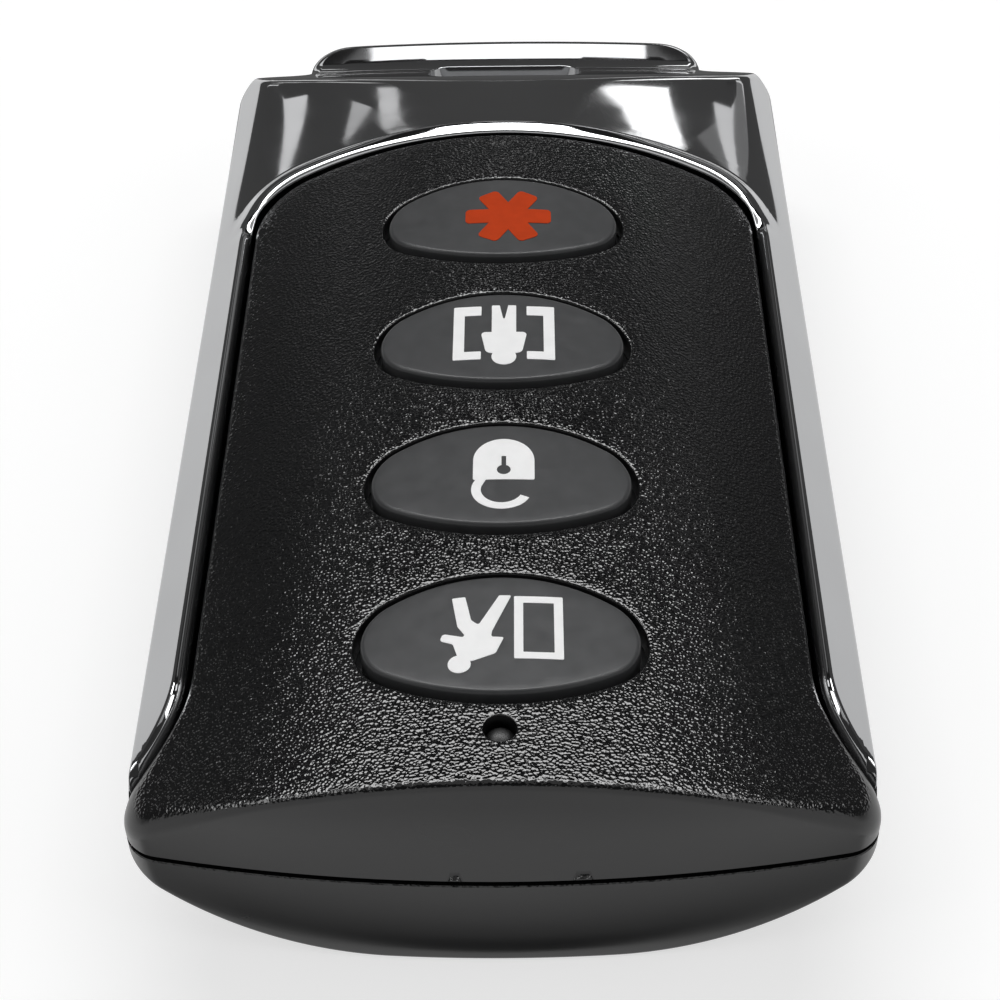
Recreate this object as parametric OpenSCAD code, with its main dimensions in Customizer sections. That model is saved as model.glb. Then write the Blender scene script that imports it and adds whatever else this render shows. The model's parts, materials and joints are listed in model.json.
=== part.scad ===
// Alarm key fob: four oval keys in a black two-part case with a chrome-plated trim frame.
// Millimetres. +Y points to the key-ring lug, +Z up through the keys, the back rests on z = 0.

/* [Case] */
// Width across the side rails
case_w = 33; // [31:0.5:37]
// Overall length with the key-ring lug
case_l = 65; // [63:0.5:72]
// Height of the front face along its centre line
face_z = 12.3; // [12:0.1:14]
// Height of the front face along its side edges
face_edge_z = 9; // [8.6:0.1:9.6]
// Height of the parting line above the back
parting_z = 6; // [5.7:0.1:6.3]
// Open groove along the parting line
parting_gap = 0.2; // [0.1:0.05:0.4]
// Height at which the back curve meets the sides
back_edge_z = 5; // [4.8:0.1:5.5]
// Width of the resting flat on the back
back_flat_w = 10; // [6:0.5:14]
// Radius that lifts the back towards the lug
back_lift_r = 12; // [10:0.5:16]
// Length of the lifted stretch of the back
back_lift_l = 8; // [6:0.5:9]
// Depth of the bulge of the near end
near_bulge = 1.7; // [1:0.1:2.4]
// Radius of the two near corners in plan
near_corner_r = 1.8; // [1:0.1:2.4]
// Set-back of the near end's top edge
near_set_back = 0.5; // [0.3:0.1:0.9]
// Height of the bevel along that edge
near_bevel_h = 2; // [1.5:0.1:3]
// Bevel under the near end
near_under = 0.6; // [0.4:0.1:1.6]
// Wall of the front cover under its face
front_wall = 1.2; // [1:0.1:1.4]
// Wall of the rear cover
rear_wall = 1.2; // [1:0.1:1.5]
// Thickness of both covers at the near end
end_wall = 1.8; // [1.4:0.1:2.2]
// Thickness of the front cover's side skirts
skirt_t = 1.2; // [0.9:0.1:1.4]
// Depth of the skirts below the parting line
skirt_depth = 0.7; // [0.5:0.1:0.8]
// Seam between the front cover and the trim frame
seam_gap = 0.25; // [0.15:0.05:0.35]

/* [Trim frame] */
// Width of a side rail
rail_w = 2.3; // [2:0.1:2.8]
// Distance of the rail's ridge from its outer side
ridge_in = 1.5; // [1.1:0.1:1.8]
// Height of the rail's outer edge
rail_edge_z = 7.3; // [6.8:0.1:7.8]
// Fall from the ridge to the rail's inner edge
rail_fall = 0.5; // [0.2:0.1:0.9]
// Distance from the near end to the tips of the rails
rail_tip_in = 3.4; // [2.8:0.1:4.5]
// Length over which the front cover flares out to full width
flare_l = 3.2; // [2.4:0.1:4.5]
// Reach of the tongue that holds the rail in the skirt's groove
tongue_w = 0.8; // [0.5:0.1:0.9]
// Thickness of that tongue
tongue_t = 0.8; // [0.6:0.1:1]
// Distance of the tongue's ends from the skirt's ends
tongue_in = 1; // [0.5:0.1:2]
// Bulge of the arch at the far end of the front cover
arch_bulge = 2; // [1:0.1:3]
// Radius of the arch's two corners
arch_corner_r = 3.5; // [2:0.1:5]
// Width of the raised bead along the arch
bead_w = 1.5; // [1:0.1:2]
// Height of that bead
bead_h = 0.3; // [0.2:0.05:0.4]
// Length from the crest of the arch to the end edge of the top facet
facet_l = 9.65; // [8:0.05:12]
// Height of the top facet at its end edge
facet_end_z = 9.9; // [9.4:0.1:10.6]
// Crown radius of the top facet
facet_r = 120; // [90:5:200]
// Crown radius of the end bevel
bevel_r = 200; // [150:10:300]
// Length of the end bevel
bevel_l = 4.7; // [4:0.1:5.5]
// Height of the end bevel's outer edge
bevel_end_z = 6.9; // [6.5:0.1:7.4]
// Bulge of the far end of the case
far_bulge = 1.4; // [0.8:0.1:2]
// Radius of the two far corners in plan
far_corner_r = 1.6; // [1:0.1:2.4]
// Wall of the trim frame over its hollow
trim_wall = 1.5; // [1.2:0.1:1.8]

/* [Key-ring lug] */
// Reach of the lug past the far end of the case
lug_reach = 3.8; // [3.2:0.1:5]
// Width of the lug
lug_w = 24.8; // [20:0.2:27]
// Radius of the lug's corners in plan
lug_corner_r = 2.6; // [1.5:0.1:3.2]
// Hollow radius at the lug's shoulders
shoulder_r = 1.5; // [0.8:0.1:1.8]
// Bulge of the lug's outer side
lug_bulge = 0.6; // [0.3:0.1:1]
// Height of the lug's underside
lug_under_z = 3.7; // [3.3:0.1:4.2]
// Height of the lug's top
lug_top_z = 7.4; // [6.8:0.1:7.6]
// Length of the bar that the key ring goes round
bar_l = 3.6; // [3:0.1:4]
// Round of the bar's outer edges
bar_edge_r = 0.8; // [0.4:0.1:1.2]
// Width of the key-ring slot
slot_w = 9.4; // [7:0.2:12]
// Opening of the key-ring slot
slot_l = 4.2; // [3:0.1:4.4]
// Radius of the slot's corners
slot_corner_r = 1.2; // [0.6:0.1:1.4]
// Wall between the rear cover and the slot
slot_wall = 1; // [0.8:0.1:1.4]

/* [Keys] */
// Width of a key cap
key_w = 12.3; // [10:0.05:13]
// Length of a key cap
key_l = 6.85; // [5.6:0.05:7.2]
// Radius of a key cap's two ends
key_end_r = 2.35; // [1.9:0.05:2.6]
// Distance from the near end to the first key's centre
first_key_in = 8.6; // [8:0.1:9]
// Distance from the last key's centre to the crest of the arch
last_key_in = 8.04; // [7.6:0.01:9]
// Height of the caps above the face
key_proud = 0.25; // [0.15:0.05:0.6]
// Gap between a cap and its opening
key_gap = 0.32; // [0.2:0.02:0.4]
// Travel of a key
key_travel = 0.4; // [0.25:0.05:0.45]
// Overhang of a key's flange past the two ends of its cap
flange_over = 0.5; // [0.45:0.05:0.6]
// Set-back of the flange from the long sides of the cap
flange_in = 0.25; // [0.1:0.05:0.4]
// Thickness of the flange at its ends
flange_t = 0.6; // [0.5:0.05:0.7]
// Gap between the flange and the cover above it
flange_gap = 0.25; // [0.15:0.05:0.35]
// Diameter of the stem under a key
stem_d = 3; // [2:0.1:3.5]
// Length of the stem under a key
stem_l = 0.2; // [0.1:0.05:0.4]
// Thickness of the silicone web
web_t = 0.6; // [0.4:0.1:0.8]
// Rim of the silicone web round the keys
web_rim = 0.85; // [0.6:0.05:0.9]
// Bond line between the web and the cover
web_bond = 0.05; // [0.02:0.01:0.1]
// Gap between the web and a key's flange
web_gap = 0.3; // [0.2:0.05:0.4]

/* [Key switches] */
// Height of a switch with its cover plate
switch_h = 1.25; // [1.15:0.05:1.4]
// Side of a switch along the case's width
switch_w = 4.4; // [3.8:0.1:5]
// Side of a switch along the case's length
switch_l = 3.6; // [3.4:0.1:4.4]
// Thickness of the cover plate
plate_t = 0.15; // [0.1:0.05:0.2]
// Height of a pressed plunger above the cover plate
plunger_rest = 0.15; // [0.1:0.05:0.3]
// Diameter of the plunger's stem
plunger_d = 1.6; // [1.2:0.1:2]
// Diameter of the plunger's flange
plunger_flange_d = 2.3; // [2.2:0.1:2.6]
// Thickness of the plunger's flange
plunger_flange_t = 0.15; // [0.1:0.05:0.2]
// Play of the plunger in its switch
plunger_play = 0.1; // [0.05:0.01:0.15]
// Gap between the plunger and the snap dome
plunger_gap = 0.03; // [0.02:0.01:0.06]
// Diameter of the snap dome
dome_d = 2.8; // [2.6:0.1:3]
// Rise of the snap dome beyond the travel
dome_rest = 0.1; // [0.05:0.05:0.15]
// Thickness of the snap dome's sheet
dome_t = 0.08; // [0.06:0.01:0.12]
// Gap round the dome in the switch base
dome_gap = 0.1; // [0.05:0.05:0.2]

/* [Circuit board] */
// Thickness of the circuit board
board_t = 0.8; // [0.6:0.1:1]
// Gap between the board's sides and the skirts
board_gap = 1.5; // [1:0.1:2]
// Gap between the board's ends and the case
board_end_gap = 0.3; // [0.2:0.1:0.6]
// Radius of the board's corners
board_corner_r = 1.5; // [0.5:0.1:2]
// Diameter of the posts under the board
post_d = 2.6; // [2.2:0.1:3]
// Diameter of the locating pegs on the posts
peg_d = 1.2; // [1:0.1:1.4]
// Height of the pegs above the board
peg_proud = 0.4; // [0.2:0.1:0.6]
// Clearance of a peg in the board, on the radius
peg_play = 0.08; // [0.04:0.02:0.1]
// Distance of the posts from the board's edges
post_in = 1.9; // [1.7:0.1:2.4]
// Wall of the hold-down bosses under the front cover
boss_wall = 0.6; // [0.5:0.1:0.8]
// Gap between a hold-down boss and the board
boss_gap = 0.05; // [0.02:0.01:0.1]
// Solder gap between a chip and the board
solder_gap = 0.02; // [0.01:0.01:0.05]

/* [Status light] */
// Distance from the near end to the status light
led_in = 3.45; // [3.3:0.05:3.6]
// Diameter of the light pipe
pipe_d = 1.45; // [1.2:0.05:1.6]
// Clearance of the pipe in its hole, on the radius
pipe_play = 0.06; // [0.04:0.01:0.1]
// Depth of the pipe's domed top below the face
pipe_sunk = 0.15; // [0.05:0.05:0.4]
// Height of the pipe's domed top
pipe_dome = 0.35; // [0.2:0.05:0.5]
// Overhang of the pipe's collar
collar_over = 0.22; // [0.15:0.01:0.25]
// Thickness of the pipe's collar
collar_t = 0.5; // [0.3:0.1:0.8]
// Gap between the pipe and the light
pipe_led_gap = 0.2; // [0.1:0.05:0.4]
// Length of the status light
led_w = 1.6; // [1.2:0.1:2]
// Width of the status light
led_l = 0.8; // [0.6:0.1:0.9]
// Height of the status light
led_h = 0.6; // [0.4:0.05:0.8]

/* [Coin cell] */
// Diameter of the coin cell
cell_d = 20; // [16:0.1:20.4]
// Thickness of the coin cell
cell_t = 3.2; // [2.5:0.1:3.3]
// Distance of the cell's centre from the middle of the case
cell_y = -7; // [-9:0.5:-4]
// Gap between the cell and its cradle
cell_gap = 0.3; // [0.2:0.05:0.4]
// Wall of the cradle
cradle_t = 1; // [0.8:0.1:1.2]
// Height of the cradle beside the cell
cradle_h = 2; // [1.4:0.1:2.2]
// Width of the seat under the cell
seat_w = 2; // [1.5:0.1:3]
// Sheet of the cell's can
can_t = 0.25; // [0.2:0.05:0.3]
// Width of the cell's gasket
gasket_w = 0.8; // [0.6:0.1:1]
// Height of the cell's cap above the can's rim
cap_proud = 0.25; // [0.2:0.05:0.4]
// Assembly gap between the cell's pieces
cell_fit = 0.02; // [0.01:0.01:0.04]
// Sheet of the cell contacts
contact_t = 0.15; // [0.1:0.05:0.2]
// Width of the cell contacts
contact_w = 4; // [3:0.1:5]
// Length of a contact's solder pad
contact_pad_l = 3; // [2:0.1:4]
// Length of the negative contact's spring arm
contact_arm_l = 6; // [4:0.1:8]
// Length of the spring arm's foot on the cell
contact_foot_l = 1; // [0.6:0.1:1.5]
// Gap between a contact and the cell
contact_gap = 0.03; // [0.02:0.01:0.06]

/* [Radio] */
// Side of the controller chip
controller_side = 4.6; // [4:0.1:5]
// Height of the controller chip
controller_h = 0.9; // [0.7:0.05:1]
// Leads along each side of the controller chip
controller_leads = 7; // [4:1:8]
// Side of the transmitter chip
transmitter_side = 4; // [3:0.1:4.4]
// Height of the transmitter chip
transmitter_h = 0.85; // [0.6:0.05:1]
// Leads along each side of the transmitter chip
transmitter_leads = 5; // [3:1:7]
// Side of the resonator's can
resonator_side = 3.8; // [3:0.1:4]
// Height of the resonator's can
resonator_h = 1.2; // [0.9:0.1:1.3]
// Length of the crystal's can
crystal_w = 3.2; // [2.5:0.1:3.4]
// Width of the crystal's can
crystal_l = 2.5; // [2:0.1:2.8]
// Height of the crystal's can
crystal_h = 0.8; // [0.6:0.1:1]
// Diameter of the antenna's wire
wire_d = 0.8; // [0.5:0.1:1]
// Width of the antenna loop between wire centres
loop_w = 15; // [11:0.5:17]
// Length of the antenna loop
loop_l = 7; // [5:0.5:8]
// Bend radius of the antenna's wire
loop_bend_r = 1.6; // [1.2:0.1:2.4]
// Length of a capacitor
capacitor_w = 1.6; // [1.2:0.1:2]
// Length of a resistor
resistor_w = 1.2; // [1:0.1:1.6]
// Width of a small chip
chip_l = 0.8; // [0.5:0.1:1]
// Height of a small chip
chip_h = 0.55; // [0.35:0.05:0.7]

/* [Snap beads and notches] */
// Length of a snap bead
bead_l = 6; // [4:0.5:8]
// Radius of a snap bead
snap_r = 0.42; // [0.36:0.02:0.46]
// Play between a snap bead and its groove
snap_play = 0.1; // [0.05:0.01:0.12]
// Height of the opening notches in the front cover's near rim
notch_h = 0.2; // [0.15:0.05:0.3]
// Width of the first opening notch
notch_w1 = 0.6; // [0.5:0.1:1]
// Width of the second opening notch
notch_w2 = 0.9; // [0.7:0.1:1.2]
// Distance of the first opening notch from the middle
notch_x1 = -2; // [-4:0.5:-1]
// Distance of the second opening notch from the middle
notch_x2 = 3.5; // [2:0.5:5]

/* [Hidden] */
fine = 360;
small = 64;
eps = 0.01;
beyond = 1;
least_corner_r = 0.5;
corner_steps = 8;
end_steps = 24;
edge_steps = 4;
far = 2 * case_l;

// Radius of the arc that rises by sag over a half width
function arc_r(half, sag) = (half * half + sag * sag) / (2 * sag);

// Plan
case_half = case_w / 2;
near_y = -case_l / 2;
far_y = case_l / 2;
nose_y = far_y - lug_reach;
near_r = arc_r(case_half, near_bulge);
near_centre_y = near_y + near_r;
far_r = arc_r(case_half, far_bulge);
lug_r = arc_r(lug_w / 2, lug_bulge);
function far_end_y(x) = nose_y - far_r + sqrt(far_r * far_r - x * x);
face_half = case_half - rail_w - seam_gap;
facet_end_y = nose_y - bevel_l;
arch_y = facet_end_y - facet_l;
arch_r = arc_r(face_half, arch_bulge);
nose_start_y = arch_y - arch_corner_r - arch_bulge;
rail_tip_y = near_y + rail_tip_in;
flare_y = rail_tip_y + flare_l;
skirt_half = face_half - skirt_t;
rear_half = face_half + seam_gap;
slot_far_y = far_y - bar_l;
slot_near_y = slot_far_y - slot_l;
rear_far_y = slot_near_y - slot_wall - seam_gap;
bay_far_y = rear_far_y - rear_wall;
bay_near_y = near_y + end_wall;

// Heights of the shells
crown_r = arc_r(face_half, face_z - face_edge_z);
crown_c = face_z - crown_r;
back_c = (pow(case_half, 2) - pow(back_flat_w / 2, 2) + pow(back_edge_z, 2)) / (2 * back_edge_z);
back_r = norm([back_flat_w / 2, back_c]);
front_under_z = parting_z + parting_gap / 2;
rear_top_z = parting_z - parting_gap / 2;
skirt_z = parting_z - skirt_depth;
inner_rail_half = case_half - rail_w;
ridge_x = case_half - ridge_in;
ridge_z = face_edge_z;
trim_crown_r = norm([ridge_x, ridge_z - crown_c]);
facet_start_y = arch_y + seam_gap + bead_w;
facet_start_z = crown_c + trim_crown_r - 2 * bead_h;
facet_tilt = atan2(facet_start_z - facet_end_z, facet_end_y - facet_start_y);
bevel_tilt = atan2(facet_end_z - bevel_end_z, bevel_l);

// Heights of the front cover's face and the rear cover's curve at a distance from the middle
function face_at(x, inset) = crown_c + sqrt(pow(crown_r - inset, 2) - x * x);
function back_at(x, inset) = back_c - sqrt(pow(back_r - inset, 2) - x * x);

// Stack from the keys down to the board
flange_under_z = face_at(key_w / 2 + flange_over, front_wall) - flange_gap - flange_t;
plunger_top_z = flange_under_z - stem_l;
plate_top_z = plunger_top_z - plunger_rest - key_travel;
board_top_z = plate_top_z - switch_h;
board_under_z = board_top_z - board_t;
base_top_z = plate_top_z - plate_t;
plunger_under_z = base_top_z - plunger_play / 2 - plunger_flange_t;
dome_rise = key_travel + dome_rest;
dome_floor_z = plunger_under_z - plunger_gap - dome_rise;
recess_d = dome_d + 2 * dome_gap;

// Board outline and posts
board_half = skirt_half - board_gap;
board_near_y = bay_near_y + near_r - sqrt(near_r * near_r - board_half * board_half) + board_end_gap;
board_far_y = bay_far_y - board_end_gap;
post_x = board_half - post_in;
post_near_y = board_near_y + post_in;
post_far_y = board_far_y - post_in;

// Coin cell
cell_r = cell_d / 2;
cell_z = back_at(cell_r + cell_gap, rear_wall);
cell_top_z = cell_z + cell_t;
can_rim_z = cell_top_z - cap_proud;
cap_r = cell_r - can_t - gasket_w - cell_fit;

// Keys
KEY_NAMES = ["arm", "disarm", "stay", "panic"];
led_y = near_y + led_in;
key_pitch = (arch_y - last_key_in - near_y - first_key_in) / (len(KEY_NAMES) - 1);
function key_y(i) = near_y + first_key_in + i * key_pitch;
function between_keys_y(i) = key_y(i) + key_pitch / 2;
key_ys = [for (i = [0 : len(KEY_NAMES) - 1]) key_y(i)];
web_near_y = bay_near_y + board_end_gap;
web_half = key_w / 2 + flange_over + web_gap + web_rim;
web_far_y = key_y(len(KEY_NAMES) - 1) + key_l / 2 + web_gap + web_rim;
skirt_near_y = flare_y;
skirt_far_y = nose_start_y - tongue_in;
tongue_near_y = skirt_near_y + tongue_in;
tongue_far_y = skirt_far_y - tongue_in;
skirt_l = skirt_far_y - skirt_near_y;
snap_ys = [skirt_near_y + skirt_l / 4, skirt_far_y - skirt_l / 4];

CASE_BLACK = [0.16, 0.16, 0.165];
CHROME = [0.80, 0.81, 0.83];
KEY_GREY = [0.30, 0.30, 0.31];
STEEL = [0.72, 0.72, 0.70];
CHIP_BLACK = [0.12, 0.12, 0.13];

// Shapes in plan

// Points along an arc about a centre, from one angle to another
function arc(centre, r, a1, a2, steps) =
    [for (k = [0 : steps]) centre + r * [cos(a1 + (a2 - a1) * k / steps), sin(a1 + (a2 - a1) * k / steps)]];

// Tab from y = 0 to the crest of its curved end, with two round corners
module curved_tab(half, length, end_r, corner_r) {
    centre_y = length - end_r;
    corner_x = half - corner_r;
    corner_y = centre_y + sqrt(pow(end_r - corner_r, 2) - corner_x * corner_x);
    meet = atan2(corner_y - centre_y, corner_x);
    polygon(concat(
        [[-half, 0], [half, 0]],
        arc([corner_x, corner_y], corner_r, 0, meet, corner_steps),
        arc([0, centre_y], end_r, meet, 180 - meet, end_steps),
        arc([-corner_x, corner_y], corner_r, 180 - meet, 180, corner_steps)
    ));
}

// Rectangle with round corners between two lines across the case
module rounded_strip(half, y1, y2, r) {
    translate([-half, y1 + r]) square([2 * half, y2 - y1 - 2 * r]);
    translate([-half + r, y1]) square([2 * (half - r), y2 - y1]);
    for (x = [-half + r, half - r], y = [y1 + r, y2 - r])
        translate([x, y]) circle(r = r, $fn = small);
}

// Oval of four tangent arcs, close to an ellipse
module oval(w, l, end_r) {
    end_x = w / 2 - end_r;
    side_r = (end_x * end_x + l * l / 4 - end_r * end_r) / (l - 2 * end_r);
    meet_x = end_x + end_r * end_x / (side_r - end_r);
    intersection() {
        translate([0, side_r - l / 2]) circle(r = side_r, $fn = fine);
        translate([0, l / 2 - side_r]) circle(r = side_r, $fn = fine);
        square([2 * meet_x, l], center = true);
    }
    for (side = [-1, 1])
        translate([side * end_x, 0]) circle(r = end_r, $fn = small);
}

// Outline of the near half of the case
module near_outline(inset) {
    mirror([0, 1])
        curved_tab(
            case_half - inset, case_l / 2 - inset, near_r - inset,
            max(near_corner_r - inset, least_corner_r)
        );
}

// Outline of the case without the lug
module case_outline() {
    near_outline(0);
    curved_tab(case_half, nose_y, far_r, far_corner_r);
}

// Outline of the front cover, grown all round for the seam of the trim frame
module face_outline(grow) {
    run = case_half - face_half;
    slope = -flare_l / run;
    shift = grow * norm([run, flare_l]) / run;
    translate([0, rail_tip_y])
        curved_tab(face_half + grow, arch_y - rail_tip_y + grow, arch_r + grow, arch_corner_r + grow);
    polygon([
        [-face_half - grow, flare_y + shift + slope * grow],
        [face_half + grow, flare_y + shift + slope * grow],
        [case_half + beyond, rail_tip_y + shift + slope * beyond],
        [case_half + beyond, -far],
        [-case_half - beyond, -far],
        [-case_half - beyond, rail_tip_y + shift + slope * beyond]
    ]);
}

// Lug with its slot, in plan
module lug_outline() {
    lug_half = lug_w / 2;
    foot_x = lug_half + shoulder_r;
    foot_y = far_end_y(foot_x);
    translate([0, slot_near_y]) curved_tab(lug_half, far_y - slot_near_y, lug_r, lug_corner_r);
    for (side = [0, 1])
        mirror([side, 0])
            polygon(concat(
                [[0, slot_near_y], [foot_x, slot_near_y]],
                arc([foot_x, foot_y + shoulder_r], shoulder_r, 270, 180, corner_steps),
                [[0, foot_y + shoulder_r]]
            ));
}

module slot_outline() {
    rounded_strip(slot_w / 2, slot_near_y, slot_far_y, slot_corner_r);
}

// Forms that the shells are cut from

// Round form along the case, about a line at height z
module along_case(r, z) {
    translate([0, 0, z]) rotate([90, 0, 0]) cylinder(r = r, h = 2 * far, center = true, $fn = fine);
}

// Crowned form that falls towards the lug, through the end edge of the top facet
module falling_crown(r, tilt, drop) {
    translate([0, facet_end_y, facet_end_z - drop])
        rotate([-tilt, 0, 0])
            along_case(r, -r);
}

// Turned form that bevels the near end's top edge and its underside
module near_end_form() {
    translate([0, near_centre_y, 0])
        rotate_extrude($fn = fine)
            polygon([
                [0, 0],
                [near_r - near_under, 0],
                [near_r + beyond, near_under + beyond],
                [near_r + beyond, face_z - near_bevel_h * (1 + beyond / near_set_back)],
                [near_r - near_set_back, face_z],
                [near_r - near_set_back, 2 * face_z],
                [0, 2 * face_z]
            ]);
}

// Form of the back, lifted towards the lug, or of the space inside it at a wall's inset
module back_form(inset) {
    lift_y = rear_far_y - back_lift_l;
    intersection() {
        along_case(back_r - inset, back_c);
        union() {
            translate([-case_w, -far, inset]) cube([2 * case_w, far + lift_y, face_z]);
            translate([0, lift_y, back_lift_r])
                rotate([0, 90, 0])
                    cylinder(r = back_lift_r - inset, h = 2 * case_w, center = true, $fn = fine);
        }
    }
}

// Prism between two heights over a plan shape
module slab(z1, z2) {
    translate([0, 0, z1]) linear_extrude(height = z2 - z1) children();
}

// Pieces of the case

module front_cover() {
    color(CASE_BLACK) difference() {
        union() {
            intersection() {
                slab(front_under_z, face_z + beyond) intersection() {
                    face_outline(0);
                    case_outline();
                }
                along_case(crown_r, crown_c);
                near_end_form();
            }
            slab(skirt_z, front_under_z + beyond) skirt_outline();
            snap_beads(snap_r);
        }
        intersection() {
            slab(skirt_z - beyond, face_z) front_bay_outline();
            along_case(crown_r - front_wall, crown_c);
        }
        for (y = key_ys)
            slab(parting_z, face_z + beyond)
                translate([0, y]) oval(key_w + 2 * key_gap, key_l + 2 * key_gap, key_end_r + key_gap);
        translate([0, led_y, parting_z]) cylinder(d = pipe_d + 2 * pipe_play, h = face_z, $fn = small);
        rail_tongues(seam_gap);
        opening_notch(notch_x1, notch_w1);
        opening_notch(notch_x2, notch_w2);
    }
    color(CASE_BLACK) hold_down_bosses();
}

// Round notch in the near rim, for a blade that opens the case
module opening_notch(x, w) {
    r = arc_r(w / 2, notch_h);
    translate([x, near_y - beyond, front_under_z + notch_h - r])
        rotate([-90, 0, 0]) cylinder(r = r, h = end_wall, $fn = small);
}

// Plan of the space under the front cover, open towards the lug
module front_bay_outline() {
    intersection() {
        near_outline(end_wall);
        translate([-skirt_half, -far]) square([2 * skirt_half, far + eps]);
    }
    translate([-skirt_half, 0]) square([2 * skirt_half, far]);
}

// Plan of the side skirts that reach into the rear cover
module skirt_outline() {
    for (side = [-1, 1])
        translate([side * (face_half - skirt_t / 2), skirt_near_y + skirt_l / 2])
            square([skirt_t, skirt_l], center = true);
}

// Beads on the skirts that snap into the rear cover, or the grooves for them
module snap_beads(r) {
    for (side = [-1, 1], y = snap_ys)
        translate([side * face_half, y, (skirt_z + rear_top_z) / 2])
            rotate([90, 0, 0]) cylinder(r = r, h = bead_l, center = true, $fn = small);
}

// Tubes that press the board onto its posts, each one clear of the peg
module hold_down_bosses() {
    boss_d = peg_d + 2 * peg_play + 2 * boss_wall;
    difference() {
        intersection() {
            for (side = [-1, 1])
                translate([side * post_x, post_near_y, board_top_z + boss_gap])
                    cylinder(d = boss_d, h = face_z, $fn = small);
            along_case(crown_r - front_wall / 2, crown_c);
        }
        for (side = [-1, 1])
            translate([side * post_x, post_near_y, 0])
                cylinder(d = peg_d + 2 * peg_play, h = board_top_z + 2 * peg_proud, $fn = small);
    }
}

module rear_cover() {
    color(CASE_BLACK) difference() {
        union() {
            difference() {
                intersection() {
                    slab(0, rear_top_z) rear_outline();
                    back_form(0);
                    near_end_form();
                }
                intersection() {
                    slab(0, parting_z) rear_bay_outline();
                    back_form(rear_wall);
                }
            }
            intersection() {
                union() {
                    cell_cradle();
                    board_posts();
                }
                back_form(rear_wall / 2);
            }
        }
        snap_beads(snap_r + snap_play);
    }
}

module rear_outline() {
    near_outline(0);
    translate([-case_half, -eps]) square([case_w, rear_far_y + eps]);
}

module rear_bay_outline() {
    intersection() {
        near_outline(end_wall);
        translate([-rear_half, -far]) square([2 * rear_half, far + eps]);
    }
    translate([-rear_half, -eps]) square([2 * rear_half, bay_far_y + eps]);
}

// Ring seat and wall that hold the coin cell, open where the positive contact reaches in
module cell_cradle() {
    inner_r = cell_r + cell_gap;
    translate([0, cell_y, 0]) difference() {
        cylinder(r = inner_r + cradle_t, h = cell_z + cradle_h, $fn = fine);
        translate([0, 0, cell_z]) cylinder(r = inner_r, h = face_z, $fn = fine);
        translate([0, 0, rear_wall]) cylinder(r = cell_r - seat_w, h = face_z, $fn = fine);
        translate([-contact_w / 2 - cell_gap, 0, cell_z])
            cube([contact_w + 2 * cell_gap, case_w, face_z]);
    }
}

// Posts under the board's corners, with pegs that locate it
module board_posts() {
    for (x = [-post_x, post_x], y = [post_near_y, post_far_y])
        translate([x, y, 0]) {
            cylinder(d = post_d, h = board_under_z, $fn = small);
            cylinder(d = peg_d, h = board_top_z + peg_proud, $fn = small);
        }
}

module trim_frame() {
    color(CHROME) difference() {
        union() {
            side_rails();
            rail_tongues(0);
            nose();
            lug();
            arch_lip();
        }
        slab(-beyond, face_z) slot_outline();
    }
}

// Plan of the trim frame above the parting line
module trim_outline() {
    difference() {
        case_outline();
        face_outline(seam_gap);
    }
}

// Prism whose section is the bevelled top of both rails
module rail_roof() {
    rotate([90, 0, 0])
        linear_extrude(height = 2 * far, center = true)
            polygon([
                [-case_half, 0],
                [case_half, 0],
                [case_half, rail_edge_z],
                [ridge_x, ridge_z],
                [inner_rail_half, ridge_z - rail_fall],
                [-inner_rail_half, ridge_z - rail_fall],
                [-ridge_x, ridge_z],
                [-case_half, rail_edge_z]
            ]);
}

module side_rails() {
    intersection() {
        slab(front_under_z, face_z) intersection() {
            trim_outline();
            translate([-case_w, -far]) square([2 * case_w, far + nose_start_y]);
        }
        rail_roof();
    }
}

// Tongues on the rails, or the grooves for them in the skirts
module rail_tongues(grow) {
    root_x = inner_rail_half + rail_w / 2;
    tongue_x = inner_rail_half - tongue_w - grow;
    for (side = [0, 1])
        mirror([side, 0, 0])
            translate([tongue_x, tongue_near_y - grow, front_under_z - grow])
                cube([root_x - tongue_x, tongue_far_y - tongue_near_y + 2 * grow, tongue_t + 2 * grow]);
}

// Crowned far end with the bead along the arch and the falling top facet
module nose() {
    difference() {
        intersection() {
            union() {
                slab(front_under_z, 2 * face_z) nose_outline();
                slab(lug_under_z, 2 * face_z) intersection() {
                    nose_outline();
                    translate([-case_w, rear_far_y + seam_gap]) square([2 * case_w, case_l]);
                }
            }
            along_case(back_r, back_c);
            rail_bevels();
            falling_crown(bevel_r, bevel_tilt, 0);
            union() {
                intersection() {
                    along_case(trim_crown_r - bead_h, crown_c);
                    falling_crown(facet_r, facet_tilt, 0);
                }
                intersection() {
                    along_case(trim_crown_r, crown_c);
                    slab(0, 2 * face_z) intersection() {
                        face_outline(seam_gap + bead_w);
                        translate([-case_w, 0]) square([2 * case_w, case_l]);
                    }
                }
            }
        }
        intersection() {
            slab(front_under_z - beyond, face_z)
                translate([-skirt_half, 0]) square([2 * skirt_half, bay_far_y]);
            along_case(trim_crown_r - bead_h - trim_wall, crown_c);
            falling_crown(facet_r, facet_tilt, trim_wall);
        }
    }
}

module nose_outline() {
    intersection() {
        trim_outline();
        translate([-case_w, nose_start_y]) square([2 * case_w, case_l]);
    }
}

// Side bevels of the rails, carried on along the far end
module rail_bevels() {
    rotate([90, 0, 0])
        linear_extrude(height = 2 * far, center = true)
            polygon([
                [-case_half, 0],
                [case_half, 0],
                [case_half, rail_edge_z],
                [ridge_x, ridge_z],
                [ridge_x, 2 * face_z],
                [-ridge_x, 2 * face_z],
                [-ridge_x, ridge_z],
                [-case_half, rail_edge_z]
            ]);
}

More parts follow.
